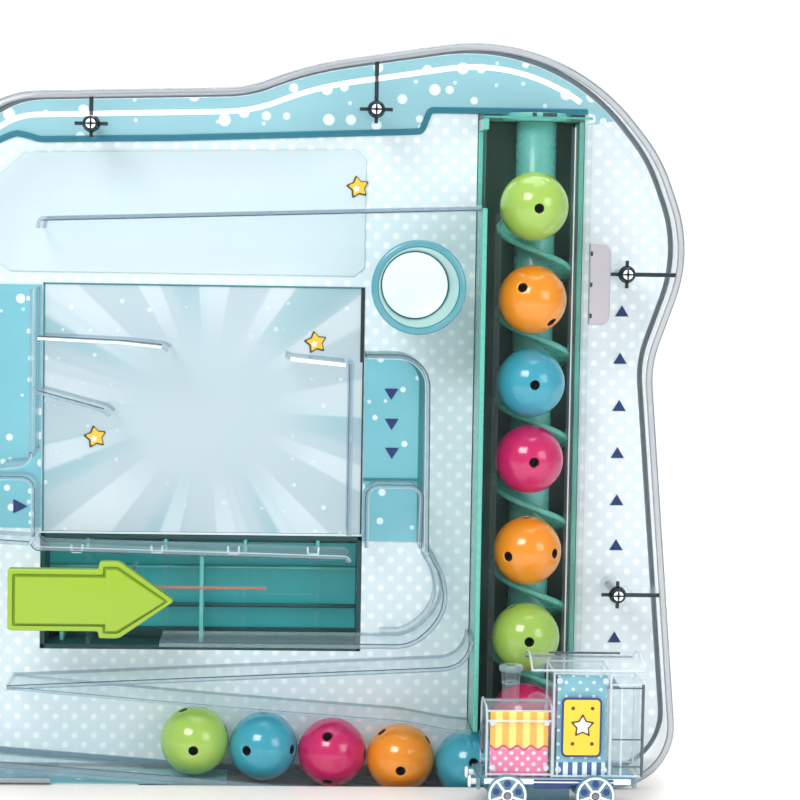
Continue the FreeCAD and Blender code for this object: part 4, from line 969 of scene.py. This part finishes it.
# the rear block of the cap takes the dark teal copy (painted shade); the two small blocks on top take the dark_shadow
# material (painted shadow)
cp = [block(LX0, LX1, -28.8, 26.4, 297.03, 299.0, 1), block(LX0, LX1, -28.95, -28.3, 297.1, 297.9, 2), block(LX0, LX1, 3.0, 26.3, 297.0, 298.9, 3),
      lathe([(3.05, 297.05), (13.9, 297.05), (14.4, 297.6), (14.4, 299.9), (13.9, 300.4), (3.05, 300.4)], (89.4, 8.0, 0), axis="z", n=64, closed=True, mi=0),
      block(86.9, 88.6, -6.75, -5.6, 298.4, 300.2, 4), block(91.0, 96.6, -6.3, -4.2, 298.4, 300.2, 4)]
V_, F_, I_ = join_parts(cp)
make("lift_top_cap", V_, F_, [M_TEAL_MID, M_CLEAR3, M_TEAL, M_TEAL_SHADE, M_DARK], idx=I_, smooth=35, slot="teal_plastic", replaces=["lift_top_bearing"])

AX, AY, PITCH = 90.0, 8.0, 33.9
v, f, i = [], [], []
core = lathe([(3.0, 29.0), (7.6, 29.0), (8.0, 29.4), (8.0, 296.7), (7.8, 296.9), (3.0, 296.9)], (AX, AY, 0), axis="z", n=48, closed=True)
z0, z1, seg = 31.1, 266.9, 72
n_t = int((z1 - z0) / PITCH * seg)
prof = [(7.6, -1.5), (14.9, -1.25), (15.4, -0.8), (15.5, 0.0), (15.4, 0.8), (14.9, 1.25), (7.6, 1.5)]
m = len(prof)
for k in range(n_t + 1):
    z = z0 + (z1 - z0) * k / n_t
    a = math.radians(-90.0) - 2 * math.pi * (z - 245.6) / PITCH
    for r, h in prof:
        v.append((AX + r * math.cos(a), AY + r * math.sin(a), z + h))
for k in range(n_t):
    for j in range(m):
        f.append((k * m + j, k * m + (j + 1) % m, (k + 1) * m + (j + 1) % m, (k + 1) * m + j))
        i.append(1)
f.append(tuple(range(m))); i.append(1)
f.append(tuple(range(len(v) - 1, len(v) - m - 1, -1))); i.append(1)
V_, F_, I_ = join_parts([core, (v, f, i)])
make("auger_flighted", V_, F_, [M_TEAL_MID, M_TEAL_LITE], body="auger", idx=I_, smooth=45, slot="teal_plastic", replaces=["auger_screw"])

tabp = [(108.3, 217.8)] + arc(112.6, 221.6, 3.8, -90, 0, 8) + arc(112.6, 245.8, 3.8, 0, 90, 8) + [(108.3, 249.6)]
tp = [prism(tabp, -28.98, -24.0), prism(shrink(tabp, 1.3), -29.0, -28.6, 1, 1)]
V_, F_, I_ = join_parts([tp[0]])
make("lift_tab_grip", V_, F_, [M_TAB, M_TAB], idx=I_, bevel=0.6, seg=3, slot="clear_plastic", replaces=["lift_tab"])
rb = [block(108.4, 109.4, -29.03, -28.8, z - 0.9, z + 0.9) for z in (221.5, 233.5, 245.5)]
V_, F_, I_ = join_parts(rb)
make("lift_tab_ribs", V_, F_, [M_RIBK], idx=I_, bevel=0.15, slot="clear_plastic")


# ------------------------------------------------------------------ balls
def ball(cx, cy, cz, du, dv, spin, R=13.5, hr=1.8, seg=48, rings=13):
    fv = Vector((du, -math.sqrt(max(0.0, R * R - du * du - dv * dv)), dv)).normalized()
    a = fv.cross(Vector((0, 0, 1))).normalized()
    b = fv.cross(a)
    t = math.radians(spin)
    g = a * math.cos(t) + b * math.sin(t)
    h = fv.cross(g)
    c = Vector((cx, cy, cz))
    V, F, I = [], [], []
    for ax, u, w in ((fv, g, h), (-fv, h, g), (g, h, fv), (-g, fv, h), (h, fv, g), (-h, g, fv)):
        base = len(V)
        rows = []
        a0 = math.asin((hr + 0.55) / R)
        # hole wall: bottom, mid, mouth; then a small radius and the sphere
        depth = math.sqrt(R * R - hr * hr)
        prof = [(hr, 4.0), (hr, depth - 0.9), (hr + 0.08, depth - 0.35), (hr + 0.28, depth - 0.1)]
        for r, hgt in prof:
            row = []
            for k in range(seg):
                p = 2 * math.pi * k / seg
                q = c + ax * hgt + (u * math.cos(p) + w * math.sin(p)) * r
                row.append(len(V)); V.append(tuple(q))
            rows.append(row)
        for j in range(rings + 1):
            row = []
            for k in range(seg):
                p = 2 * math.pi * k / seg
                s = 1.0 / max(abs(math.cos(p)), abs(math.sin(p)))
                am = math.atan(s)
                al = a0 + (am - a0) * j / rings
                q = c + (ax * math.cos(al) + (u * math.cos(p) + w * math.sin(p)) * math.sin(al)) * R
                row.append(len(V)); V.append(tuple(q))
            rows.append(row)
        # the first hole-wall rows and the blind bottom disc take the near-black hole material: painted shade
        for j in range(len(rows) - 1):
            for k in range(seg):
                F.append((rows[j][k], rows[j][(k + 1) % seg], rows[j + 1][(k + 1) % seg], rows[j + 1][k]))
                I.append(1 if j < 2 else 0)
        F.append(tuple(rows[0][::-1])); I.append(1)
    return V, F, I


def weld(o, d=1e-6):
    bm = bmesh.new()
    bm.from_mesh(o.data)
    bmesh.ops.remove_doubles(bm, verts=bm.verts, dist=d)
    bmesh.ops.recalc_face_normals(bm, faces=bm.faces)
    bm.to_mesh(o.data)
    bm.free()


LZ = [263.4, 227.0, 194.2, 164.0, 127.8, 93.4, 61.2]
LC_ = ["green", "orange", "blue", "magenta", "orange", "green", "magenta"]
LH = [(0.8, -0.8, 15), (-5.1, 5.1, 45), (0.5, 0.0, 30), (0.8, 0.0, 5), (-8.6, -1.2, 0), (0.4, 0.0, 25), (0.0, 2.0, 40)]
QC = ["blue", "orange", "magenta", "blue", "green"]
QH = [(1.2, 2.8, 10), (-0.4, -2.8, 35), (-2.2, 8.4, 0), (-6.7, 0.4, 0), (0.0, -1.6, 20)]
groups = {}
for z, c_, (du, dv, sp) in zip(LZ, LC_, LH):
    groups.setdefault(("lift_balls", c_), []).append(ball(87.5, -14.5, z, du, dv, sp))
for k, (c_, (du, dv, sp)) in enumerate(zip(QC, QH)):
    x = 65.9 - k * 27.25 / math.hypot(1, 0.0768)
    groups.setdefault(("queue_balls", c_), []).append(ball(x, -14.5, lane_z(x), du, dv, sp))
for (b_, c_), ps in groups.items():
    V_, F_, I_ = join_parts(ps)
    o = make("%s_%s_bored" % (b_, c_), V_, F_, [BALL[c_], M_BALLHOLE_SHADE], body=b_, idx=I_, smooth=0, slot="ball_" + c_,
             replaces=["%s_%s" % (b_, c_)], recalc=False)
    weld(o)
    for p in o.data.polygons:
        p.use_smooth = True
    o.data.set_sharp_from_angle(angle=math.radians(60))

# ------------------------------------------------------------------ arrow slider
ARW = [(-114.4, 97.4), (-79.5, 97.4), (-79.5, 94.7), (-71.6, 94.7), (-50.4, 109.4), (-71.6, 124.5), (-79.5, 124.5), (-79.5, 121.4), (-114.4, 121.4)]


def round_poly(poly, r, n=4):
    out = []
    m = len(poly)
    for i in range(m):
        p = Vector(poly[i]); a = Vector(poly[i - 1]) - p; b = Vector(poly[(i + 1) % m]) - p
        t = min(r, a.length * 0.45, b.length * 0.45)
        s = p + a.normalized() * t; e = p + b.normalized() * t
        for k in range(n + 1):
            q = k / n
            w = (1 - q) ** 2 * s + 2 * q * (1 - q) * p + q * q * e
            out.append((w.x, w.y))
    return out


def stack(levels, mis):
    """Closed solid from nested outlines: [(poly, y)] front last."""
    V, F, I = [], [], []
    n = len(levels[0][0])
    for poly, y in levels:
        V += [(x, y, z) for x, z in poly]
    F.append(tuple(range(n - 1, -1, -1))); I.append(mis[0])
    for j in range(len(levels) - 1):
        for k in range(n):
            F.append((j * n + k, j * n + (k + 1) % n, (j + 1) * n + (k + 1) % n, (j + 1) * n + k)); I.append(mis[j])
    j = len(levels) - 1
    F.append(tuple(j * n + k for k in range(n))); I.append(mis[-1])
    return V, F, I


def arrow_in(o_):
    return [(-114.4 + o_, 97.4 + o_), (-79.5 + o_ * 0.9, 97.4 + o_), (-79.5 + o_ * 0.9, 94.7 + o_), (-71.6 - o_ * 0.25, 94.7 + o_),
            (-50.4 - o_ * 1.25, 109.4), (-71.6 - o_ * 0.25, 124.5 - o_), (-79.5 + o_ * 0.9, 124.5 - o_), (-79.5 + o_ * 0.9, 121.4 - o_),
            (-114.4 + o_, 121.4 - o_)]


lv = [(round_poly(arrow_in(o_), max(0.25, 1.3 - 0.3 * o_)), y) for o_, y in
      ((0.3, -31.3), (0.0, -31.6), (0.0, -35.7), (0.25, -36.2), (0.7, -36.4), (1.9, -36.4), (2.1, -36.2), (2.15, -35.9), (2.7, -35.9),
       (2.85, -36.1), (2.95, -37.3), (3.2, -37.75), (3.7, -37.9))]
# the knob's side wall, the groove round its plateau and the stem take the darker lime: painted shade
V_, F_, I_ = stack(lv, [0, 1, 0, 0, 0, 1, 1, 1, 1, 0, 0, 0, 0])
stem = block(-88.0, -76.0, -31.6, -28.7, 107.9, 111.3, 1)
V_, F_, I_ = join_parts([(V_, F_, I_), stem])
make("arrow_knob_lime", V_, F_, [M_LIME, M_LIME_SHADE], body="arrow_slider", idx=I_, smooth=32, slot="lime_plastic", replaces=["arrow_knob"])
# the upright plate of the slide takes the grey edge material: painted shade
sp = [block(-93.0, -66.0, -28.68, -27.0, 100.5, 119.0), block(-68.0, -66.0, -28.68, -2.0, 98.0, 120.0, 1), block(-92.0, -68.0, -27.1, -17.0, 108.8, 110.4)]
V_, F_, I_ = join_parts(sp)
make("arrow_slide_clear", V_, F_, [M_CLEAR2, M_EDGE], body="arrow_slider", idx=I_, bevel=0.3, slot="clear_plastic", replaces=["arrow_slide"])

# ------------------------------------------------------------------ locomotive on the deck
LY0, LY1 = -74.0, -46.0


def shell(x0, x1, y0, y1, z0, z1, t, mi=0):
    """Open-bottomed clear box with real wall thickness."""
    o_ = [(x0, y0), (x1, y0), (x1, y1), (x0, y1)]
    i_ = [(x0 + t, y0 + t), (x1 - t, y0 + t), (x1 - t, y1 - t), (x0 + t, y1 - t)]
    v = [(x, y, z0) for x, y in o_] + [(x, y, z1) for x, y in o_] + [(x, y, z0) for x, y in i_] + [(x, y, z1 - t) for x, y in i_]
    f = [(4, 5, 6, 7), (15, 14, 13, 12)]
    for k in range(4):
        q = (k + 1) % 4
        f.append((k, q, 4 + q, 4 + k))
        f.append((8 + q, 8 + k, 12 + k, 12 + q))
        f.append((q, k, 8 + k, 8 + q))
    return v, f, [mi] * len(f)


def edge_rods(x0, x1, y0, y1, z0, z1, r=0.55, mi=1, inset=0.0):
    """Raised corner rods along the twelve edges of a box; their dark and white materials paint the shade and highlight
    lines of the clear edges.
    """
    X, Y, Z = (x0 + inset, x1 - inset), (y0 + inset, y1 - inset), (z0 + inset, z1 - inset)
    out = []
    for a in Y:
        for b in Z:
            out.append(tube([(X[0], a, b), (X[1], a, b)], r, 8, mi))
    for a in X:
        for b in Z:
            out.append(tube([(a, Y[0], b), (a, Y[1], b)], r, 8, mi))
        for b in Y:
            out.append(tube([(a, b, Z[0]), (a, b, Z[1])], r, 8, mi))
    return out


# On the clear engine parts below, the dark, grey and white end faces, rods, rings and strips paint the shade and
# highlight lines along clear edges.
# boiler: rounded top, open below
def boiler(y0, y1, z0, z1, r, n=8):
    return [(y0, z0)] + arc(y0 + r, z1 - r, r, 180, 90, n) + arc(y1 - r, z1 - r, r, 90, 0, n) + [(y1, z0)]


BP, BI = boiler(-73.0, -47.0, 50.02, 76.0, 6.0), boiler(-71.6, -48.4, 50.02, 74.6, 5.0)
n_ = len(BP)
v = [(68.0, y, z) for y, z in BP] + [(93.0, y, z) for y, z in BP] + [(69.4, y, z) for y, z in BI] + [(91.6, y, z) for y, z in BI]
f, i = [], []
for k in range(n_ - 1):
    f.append((k, k + 1, n_ + k + 1, n_ + k)); i.append(0)
    f.append((2 * n_ + k + 1, 2 * n_ + k, 3 * n_ + k, 3 * n_ + k + 1)); i.append(0)
f.append(tuple(range(n_ - 1, -1, -1))); i.append(0)
f.append(tuple(range(n_, 2 * n_))); i.append(0)
f.append(tuple(range(2 * n_, 3 * n_))); i.append(0)
f.append(tuple(range(4 * n_ - 1, 3 * n_ - 1, -1))); i.append(0)
f += [(0, n_, 3 * n_, 2 * n_), (n_ - 1, 3 * n_ - 1, 4 * n_ - 1, 2 * n_ - 1), (0, 2 * n_, 3 * n_ - 1, n_ - 1), (n_, 2 * n_ - 1, 4 * n_ - 1, 3 * n_)]
i += [1, 1, 1, 1]
rods = []
for x in (68.2, 92.8):
    rods.append(tube([(x, y * 1.0 - (0.2 if y < -60 else -0.2), z + (0.1 if z > 60 else 0)) for y, z in BP], 0.42, 8, 2))
for y, z in ((-73.0, 71.2), (-71.2, 74.6), (-48.8, 74.4), (-73.1, 51.0), (-46.9, 51.0)):
    rods.append(tube([(68.0, y, z), (93.0, y, z)], 0.42, 8, 2))
for z in (53.5, 70.5):
    for x in (70.4, 90.6):
        rods.append(lathe([(0.0, -73.9), (0.9, -73.7), (1.2, -73.3), (1.2, -72.9), (0.0, -72.9)], (x, 0, z), n=14, mi=2))
V_, F_, I_ = join_parts([(v, f, i)] + rods)
make("engine_boiler_clear", V_, F_, [M_CLEAR2, M_EDGE_SHADE_JOINT, M_EDGE_HILITE], body="locomotive", idx=I_, smooth=40, slot="clear_plastic", replaces=["loco_boiler"])

# smokebox end: ring and lamp
v, f, i = lathe([(0.0, -1.0), (5.5, -1.0), (6.3, -0.6), (6.3, 0.0), (0.0, 0.0)], (68.0, -60.0, 62.5), axis="x", n=40, mi=[0, 1, 1, 0])
v2, f2, i2 = lathe([(0.0, -1.4), (2.6, -1.4), (3.0, -1.0), (0.0, -0.9)], (68.0, -60.0, 62.5), axis="x", n=28, mi=1)
V_, F_, I_ = join_parts([(v, f, i), (v2, f2, i2)])
make("engine_smokebox_ring", V_, F_, [M_CLEAR2, M_EDGE_SHADE_JOINT], body="locomotive", idx=I_, smooth=40, slot="clear_plastic")

cab = [shell(93.05, 114.6, -73.4, -46.6, 50.02, 90.0, 1.4)] + edge_rods(93.05, 114.6, -73.4, -46.6, 50.4, 89.6, 0.42, 2, 0.15)
for x in (95.2, 112.4):
    for z in (53.0, 86.6):
        cab.append(lathe([(0.0, -74.2), (0.9, -74.0), (1.2, -73.7), (1.2, -73.3), (0.0, -73.3)], (x, 0, z), n=14, mi=2))
V_, F_, I_ = join_parts(cab)
make("engine_cab_clear", V_, F_, [M_CLEAR2, M_EDGE_SHADE_JOINT, M_EDGE_HILITE], body="locomotive", idx=I_, smooth=40, slot="clear_plastic", replaces=["loco_cab"])
bk = [shell(114.65, 127.0, -73.0, -47.0, 50.02, 85.6, 1.4)] + edge_rods(114.65, 127.0, -73.0, -47.0, 50.4, 85.3, 0.4, 2, 0.15)
bk.append(tube([(126.7, -73.1, 50.4), (126.7, -73.1, 85.3)], 0.6, 8, 1))
for z in (54.2, 64.5, 84.0):
    bk.append(block(115.4, 126.6, -73.5, -72.9, z - 0.25, z + 0.25, 1))
bk.append(block(118.4, 119.0, -73.5, -72.9, 51.0, 85.0, 2))
V_, F_, I_ = join_parts(bk)
make("engine_bunker_clear", V_, F_, [M_CLEAR2, M_EDGE_SHADE_JOINT, M_EDGE_HILITE], body="locomotive", idx=I_, smooth=40, slot="clear_plastic", replaces=["loco_bunker"])
v, f, i = lathe([(2.1, 79.0), (2.1, 90.0), (4.1, 90.05), (4.5, 89.7), (4.5, 88.2), (4.1, 87.8), (3.7, 87.6), (3.4, 84.2), (3.5, 83.8), (3.5, 83.2), (3.3, 82.9),
                 (3.1, 77.0), (3.8, 76.3), (3.8, 75.9), (2.1, 75.9)], (78.0, -60.0, 0), axis="z", n=40, closed=True,
                mi=[0, 1, 1, 1, 1, 1, 0, 0, 1, 1, 0, 0, 1, 0, 0])
make("engine_chimney_clear", v, f, [M_CLEAR2, M_EDGE], body="locomotive", idx=i, smooth=40, slot="clear_plastic", replaces=["loco_chimney"])
dome = lathe([(0.0, 79.6), (1.8, 79.3), (3.2, 78.3), (3.9, 76.8), (4.0, 75.9), (0.0, 75.9)], (88.0, -60.0, 0), axis="z", n=32)
make("engine_dome_clear", dome[0], dome[1], [M_CLEAR2], body="locomotive", idx=dome[2], smooth=40, slot="clear_plastic")
yy, up_ = [], []
for k in range(17):
    y = -75.5 + 31.0 * k / 16
    q = (y + 60.0) / 15.5
    yy.append((y, 95.2 - 4.4 * q * q))
    up_.append((y, max(90.05, 95.2 - 4.4 * q * q - 1.8)))
rf = [prism_x(yy + up_[::-1], 84.5, 126.5, 0)]
for x, t in ((84.6, 0.42), (126.4, 0.42)):
    rf.append(tube([(x, y, z + 0.1) for y, z in yy], t, 8, 2))
rf.append(tube([(84.5, -75.4, 90.9), (126.5, -75.4, 90.9)], 0.42, 8, 2))
rf.append(tube([(84.5, -44.6, 90.9), (126.5, -44.6, 90.9)], 0.42, 8, 1))
rf.append(tube([(92.0, -62.0, 95.3), (119.0, -62.0, 95.3)], 0.4, 8, 1))
V_, F_, I_ = join_parts(rf)
make("engine_roof_clear", V_, F_, [M_CLEAR2, M_EDGE_SHADE_JOINT, M_EDGE_HILITE], body="locomotive", idx=I_, smooth=30, slot="clear_plastic", replaces=["loco_roof"])


def stripes_mat():
    """Boiler card: yellow and orange upright stripes, a pink dotted band below."""
    m = Mat("engine_card_stripes")
    x, y, z = m.xyz()
    s = m.math("FRACT", m.math("MULTIPLY", x, 1.0 / 0.0052))
    st_ = m.smooth(m.math("ABSOLUTE", m.math("SUBTRACT", s, 0.5)), 0.22, 0.28)
    col = m.mix(st_, srgb(250, 178, 52), srgb(255, 226, 120))
    dots = lattice_dots(m, 0.0042, 0.0007, 0.00015)
    low = m.mix(dots, srgb(240, 120, 164), srgb(255, 226, 236))
    col = m.mix(m.math("LESS_THAN", z, 0.0605), col, low)
    wv = m.math("MULTIPLY_ADD", m.math("SINE", m.math("MULTIPLY", x, 1200.0)), 0.0007, 0.0608)
    line = m.math("LESS_THAN", m.math("ABSOLUTE", m.math("SUBTRACT", z, wv)), 0.0005)
    col = m.mix(line, col, srgb(214, 60, 110))
    return m.done(m.bsdf(col, m.math("MULTIPLY_ADD", m.noise(300.0), 0.1, 0.32), 0.45, coat=0.2))


def cabcard_mat():
    m = Mat("engine_card_cab")
    x, y, z = m.xyz()
    dots = lattice_dots(m, 0.0052, 0.0006, 0.00015, 0.001)
    col = m.mix(dots, m.mix(m.noise(60.0), srgb(116, 178, 194), srgb(130, 188, 202)), srgb(232, 246, 250))
    band = m.math("LESS_THAN", z, 0.0555)
    st_ = m.math("LESS_THAN", m.math("FRACT", m.math("MULTIPLY", x, 1.0 / 0.0036)), 0.5)
    col = m.mix(band, col, m.mix(st_, srgb(34, 84, 150), srgb(240, 250, 252)))
    return m.done(m.bsdf(col, m.math("MULTIPLY_ADD", m.noise(300.0), 0.1, 0.32), 0.45, coat=0.2))


M_STRIPE, M_CABC = stripes_mat(), cabcard_mat()
v, f, i = block(69.6, 91.4, -71.5, -70.9, 50.1, 74.4)
make("engine_boiler_card", v, f, [M_STRIPE], body="locomotive", idx=i, smooth=0, slot="loco_print", replaces=["loco_boiler_card"])
v, f, i = block(94.6, 113.0, -71.9, -71.3, 50.1, 88.4)
make("engine_cab_card", v, f, [M_CABC], body="locomotive", idx=i, smooth=0, slot="loco_print", replaces=["loco_cab_card"])
wn = [prism(rounded(96.1, 111.2, 57.9, 80.4, 2.0), -73.95, -73.42, 1, 1), prism(rounded(96.9, 110.4, 58.7, 79.6, 1.4), -74.1, -73.9, 0, 0),
      star(103.95, 69.7, 4.9, -74.3, -74.05, 90, 0.52, 2), star(103.95, 69.7, 3.6, -74.42, -74.25, 90, 0.52, 3)]
for x, z in ((100.3, 63.0), (107.6, 63.0), (100.3, 76.4), (107.6, 76.4)):
    wn.append(lathe([(0.0, -74.25), (0.7, -74.25), (0.7, -74.05), (0.0, -74.05)], (x, 0, z), n=16, mi=2))
V_, F_, I_ = join_parts(wn)
make("engine_window_sign", V_, F_, [M_YELLOW, M_NAVY, M_OUTLN, M_WHITE], body="locomotive", idx=I_, smooth=0, slot="loco_print", replaces=["loco_window"])

# chassis, buffers and steps
GY0, GY1 = -62.0, -57.0
chs = [prism_z([(x, -74 + 0.0 * 0 + y) for x, y in rounded(66.0, 124.0, 0.0, 28.0, 4.0)], 47.0, 50.0, 0)]
for ax in (76.0, 109.0):
    for y in (-73.6, -50.4):
        chs.append(block(ax - 4, ax + 4, y, y + 4, 39.6, 47.2, 0))
chs.append(block(84.0, 101.0, GY0 + 0.3, GY1 - 0.3, 32.0, 47.5, 0))
V_, F_, I_ = join_parts(chs)
make("engine_chassis_navy", V_, F_, [M_CHAS], body="locomotive", idx=I_, bevel=0.4, slot="navy_plastic", replaces=["loco_chassis"])
det = [block(67.5, 122.5, -74.45, -73.8, 47.6, 49.6, 1), block(86.0, 116.0, -74.7, -74.3, 48.7, 49.5, 0), block(86.0, 116.0, -74.7, -74.3, 47.3, 48.1, 0),
       block(86.0, 100.0, -74.7, -74.3, 45.9, 46.7, 0), block(64.6, 66.2, -72.5, -47.5, 45.0, 49.4, 2), block(123.8, 125.2, -71.0, -49.0, 45.5, 49.4, 2)]
for y in (-68.0, -52.0):
    det.append(lathe([(0.0, -3.2), (1.9, -3.2), (2.2, -2.8), (2.2, -2.2), (1.1, -2.0), (1.1, 0.0), (0.0, 0.0)], (65.0, y, 47.2), axis="x", n=20, mi=1))
V_, F_, I_ = join_parts(det)
make("engine_trim", V_, F_, [M_NAVY, M_WHITE, M_EDGE], body="locomotive", idx=I_, bevel=0.15, slot="navy_plastic")


def wheels(ax):
    P = []
    for y0 in (-77.4, -45.6):
        s = 1 if y0 < -60 else -1
        yo, yi = (y0, y0 + 3.0) if s == 1 else (y0 + 3.0, y0)
        pr = [(1.5, yi), (7.1, yi), (7.5, yi - s * 0.4), (7.5, yo + s * 0.5), (7.1, yo), (6.3, yo), (6.1, yo + s * 0.5), (2.4, yo + s * 0.5), (2.2, yo), (1.5, yo - s * 0.15)]
        P.append(lathe(pr, (ax, 0, 43.85), n=48, closed=True, mi=[0, 0, 0, 0, 1, 0, 0, 0, 1, 0]))
        for k in range(5):
            a = math.radians(72 * k + 18)
            c = (ax + 4.4 * math.cos(a), 0, 43.85 + 4.4 * math.sin(a))
            P.append(lathe([(0.0, yo + s * 0.6), (1.3, yo + s * 0.6), (1.3, yo + s * 0.42), (1.1, yo + s * 0.38), (0.0, yo + s * 0.38)], c, n=16, mi=2))
        a = [math.radians(72 * k + 54) for k in range(5)]
        for t in a:
            dx, dz = math.cos(t), math.sin(t)
            px, pz = -dz * 0.45, dx * 0.45
            q = [(ax + dx * 2.2 + px, 43.85 + dz * 2.2 + pz), (ax + dx * 6.2 + px, 43.85 + dz * 6.2 + pz),
                 (ax + dx * 6.2 - px, 43.85 + dz * 6.2 - pz), (ax + dx * 2.2 - px, 43.85 + dz * 2.2 - pz)]
            P.append(prism(q, min(yo + s * 0.1, yo + s * 0.6), max(yo + s * 0.1, yo + s * 0.6), 1, 1))
    P.append(lathe([(0.0, -77.7), (1.2, -77.6), (1.5, -77.3), (1.5, -42.7), (1.2, -42.4), (0.0, -42.3)], (ax, 0, 43.85), n=24, mi=3))
    return join_parts(P)


for nm, nd, ax in (("engine_wheels_front", "loco_front_wheels", 76.0), ("engine_wheels_rear", "loco_rear_wheels", 109.0)):
    V_, F_, I_ = wheels(ax)
    make(nm, V_, F_, [M_CHAS, M_WHITE, M_NAVY, M_STEEL], body="front_wheels" if ax < 90 else "rear_wheels", idx=I_, smooth=40, slot="navy_plastic",
         replaces=[nd])

# ------------------------------------------------------------------ rear of the case: ribs and screw pillars
rr = []
for x in (-96.0, -48.0, 0.0, 48.0):
    rr.append(block(x - 1.1, x + 1.1, 33.6, 35.2, 62.0, 286.0, 0))
for z in (100.0, 176.0, 252.0):
    rr.append(block(-118.0, 62.0, 33.6, 34.9, z - 1.1, z + 1.1, 0))
for x, z in ((-120.0, 60.0), (-120.0, 276.0), (118.0, 60.0), (110.0, 296.0), (0.0, 298.0), (124.0, 190.0)):
    rr.append(lathe([(0.0, 35.0), (2.4, 35.0), (2.6, 36.4), (5.2, 36.4), (5.8, 35.6), (5.8, 33.8), (0.0, 33.8)], (x, 0, z), n=32, mi=[1, 1, 0, 0, 0, 0]))
    rr.append(block(x - 1.6, x + 1.6, 34.9, 35.3, z - 0.3, z + 0.3, 1))
    rr.append(block(x - 0.3, x + 0.3, 34.9, 35.3, z - 1.6, z + 1.6, 1))
V_, F_, I_ = join_parts(rr)
make("rear_ribs", V_, F_, [M_SHELL, M_STEEL], idx=I_, bevel=0.3, slot="shell_white")

# ------------------------------------------------------------------ carried-over nodes: finishes and softened edges
KEEP = {"base_housing": (M_CREAM, 0.5, "cream_plastic"), "base_bottom_plate": (M_UNDER, 0.3, "grey_base_plastic"), "rubber_feet": (M_RUBBER, 0.0, "rubber_black"),
        "base_screws": (M_STEEL, 0.0, "steel_screw"), "back_shell": (M_SHELL, 0.4, "shell_white"), "playfield_board": (M_BOARD, 0.0, "board_print"),
        "cover_face": (M_CLEAR, 0.0, "clear_plastic"), "lift_top_bearing": (M_TEAL_LITE, 0.25, "teal_plastic"), "lift_foot_bush": (M_TEAL, 0.2, "teal_plastic"),
        "wheel_spindle": (M_STEEL, 0.0, "steel_axle"), "auger_axle": (M_STEEL, 0.0, "steel_axle"), "auger_gear": (M_WHITE, 0.12, "white_plastic"),
        "drive_wheel": (M_TEAL, 0.15, "teal_plastic")}
left_over = []
for name, o in NODES.items():
    if o.hide_render:
        continue
    if name not in KEEP:
        left_over.append(name)
        continue
    mat, bev, sl = KEEP[name]
    o.data.materials.clear()
    o.data.materials.append(mat)
    for p in o.data.polygons:
        p.material_index = 0
    if bev:
        b = o.modifiers.new("bevel", "BEVEL")
        b.width = bev * MM
        b.segments = 2
        b.limit_method = "ANGLE"
        b.angle_limit = math.radians(50)
        b.use_clamp_overlap = True
        b.harden_normals = False
print("nodes with no finish:", left_over)

# ------------------------------------------------------------------ stage
def cyclorama():
    r, xw, yb, yf, zt = 0.35, 3.2, 1.6, -3.0, 3.4
    prof = [(yf, 0.0)] + [(yb - r + r * math.sin(math.radians(a)), r - r * math.cos(math.radians(a))) for a in range(0, 91, 6)] + [(yb, zt)]
    v, f = [], []
    for y, z in prof:
        v += [(-xw, y, z - 0.0003), (xw, y, z - 0.0003)]
    for k in range(len(prof) - 1):
        f.append((2 * k, 2 * k + 1, 2 * k + 3, 2 * k + 2))
    me = bpy.data.meshes.new("studio_floor")
    me.from_pydata(v, [], f)
    o = bpy.data.objects.new("studio_floor", me)
    bpy.context.scene.collection.objects.link(o)
    for p in me.polygons:
        p.use_smooth = True
    m = Mat("studio_white")
    col = m.mix(m.noise(3.0), (0.90, 0.90, 0.90), (0.93, 0.93, 0.93))
    me.materials.append(m.done(m.bsdf(col, 0.8, 0.2)))
    return o


cyclorama()

# ------------------------------------------------------------------ light
sc = bpy.context.scene
w = bpy.data.worlds.new("studio")
sc.world = w
w.use_nodes = True
bg = w.node_tree.nodes["Background"]
bg.inputs[0].default_value = (1.0, 1.0, 1.0, 1.0)
bg.inputs[1].default_value = 0.56


def area(name, loc, target, sx, sy, power, col=(1, 1, 1)):
    d = bpy.data.lights.new(name, "AREA")
    d.shape = "RECTANGLE"
    d.size, d.size_y = sx, sy
    d.energy = power
    d.color = col
    o = bpy.data.objects.new(name, d)
    o.location = loc
    o.rotation_mode = "QUATERNION"
    o.rotation_quaternion = (Vector(target) - Vector(loc)).to_track_quat("-Z", "Y")
    sc.collection.objects.link(o)
    return o


area("key", (-0.75, -1.5, 1.35), (0, 0, 0.18), 0.9, 0.7, 22)
area("fill", (1.2, -1.3, 0.7), (0, 0, 0.18), 0.8, 0.8, 7)
area("top", (0.1, 0.1, 1.6), (0, 0, 0.2), 1.2, 0.8, 10)
area("backlight", (0.0, 1.2, 2.2), (0, 1.55, 0.5), 2.4, 1.0, 34)

# ------------------------------------------------------------------ camera
yaw, pitch, roll = math.radians(2.5615), math.radians(4.1795), math.radians(0.9685)
fw = Vector((math.sin(yaw) * math.cos(pitch), math.cos(yaw) * math.cos(pitch), -math.sin(pitch)))
r_ = fw.cross(Vector((0, 0, 1))).normalized()
u_ = r_.cross(fw)
r2 = r_ * math.cos(roll) + u_ * math.sin(roll)
u2 = -r_ * math.sin(roll) + u_ * math.cos(roll)
cd = bpy.data.cameras.new("photo_camera")
cd.sensor_width = 36.0
cd.lens = 115.94
cd.clip_start, cd.clip_end = 0.05, 30.0
cd.dof.use_dof = False
cam = bpy.data.objects.new("photo_camera", cd)
M = Matrix(((r2.x, u2.x, -fw.x, -8.89 * MM), (r2.y, u2.y, -fw.y, -1022.54 * MM), (r2.z, u2.z, -fw.z, 260.47 * MM), (0, 0, 0, 1)))
cam.matrix_world = M
sc.collection.objects.link(cam)
sc.camera = cam
sc.view_settings.view_transform = "Standard"
sc.cycles.transparent_max_bounces = 24
sc.cycles.max_bounces = 7
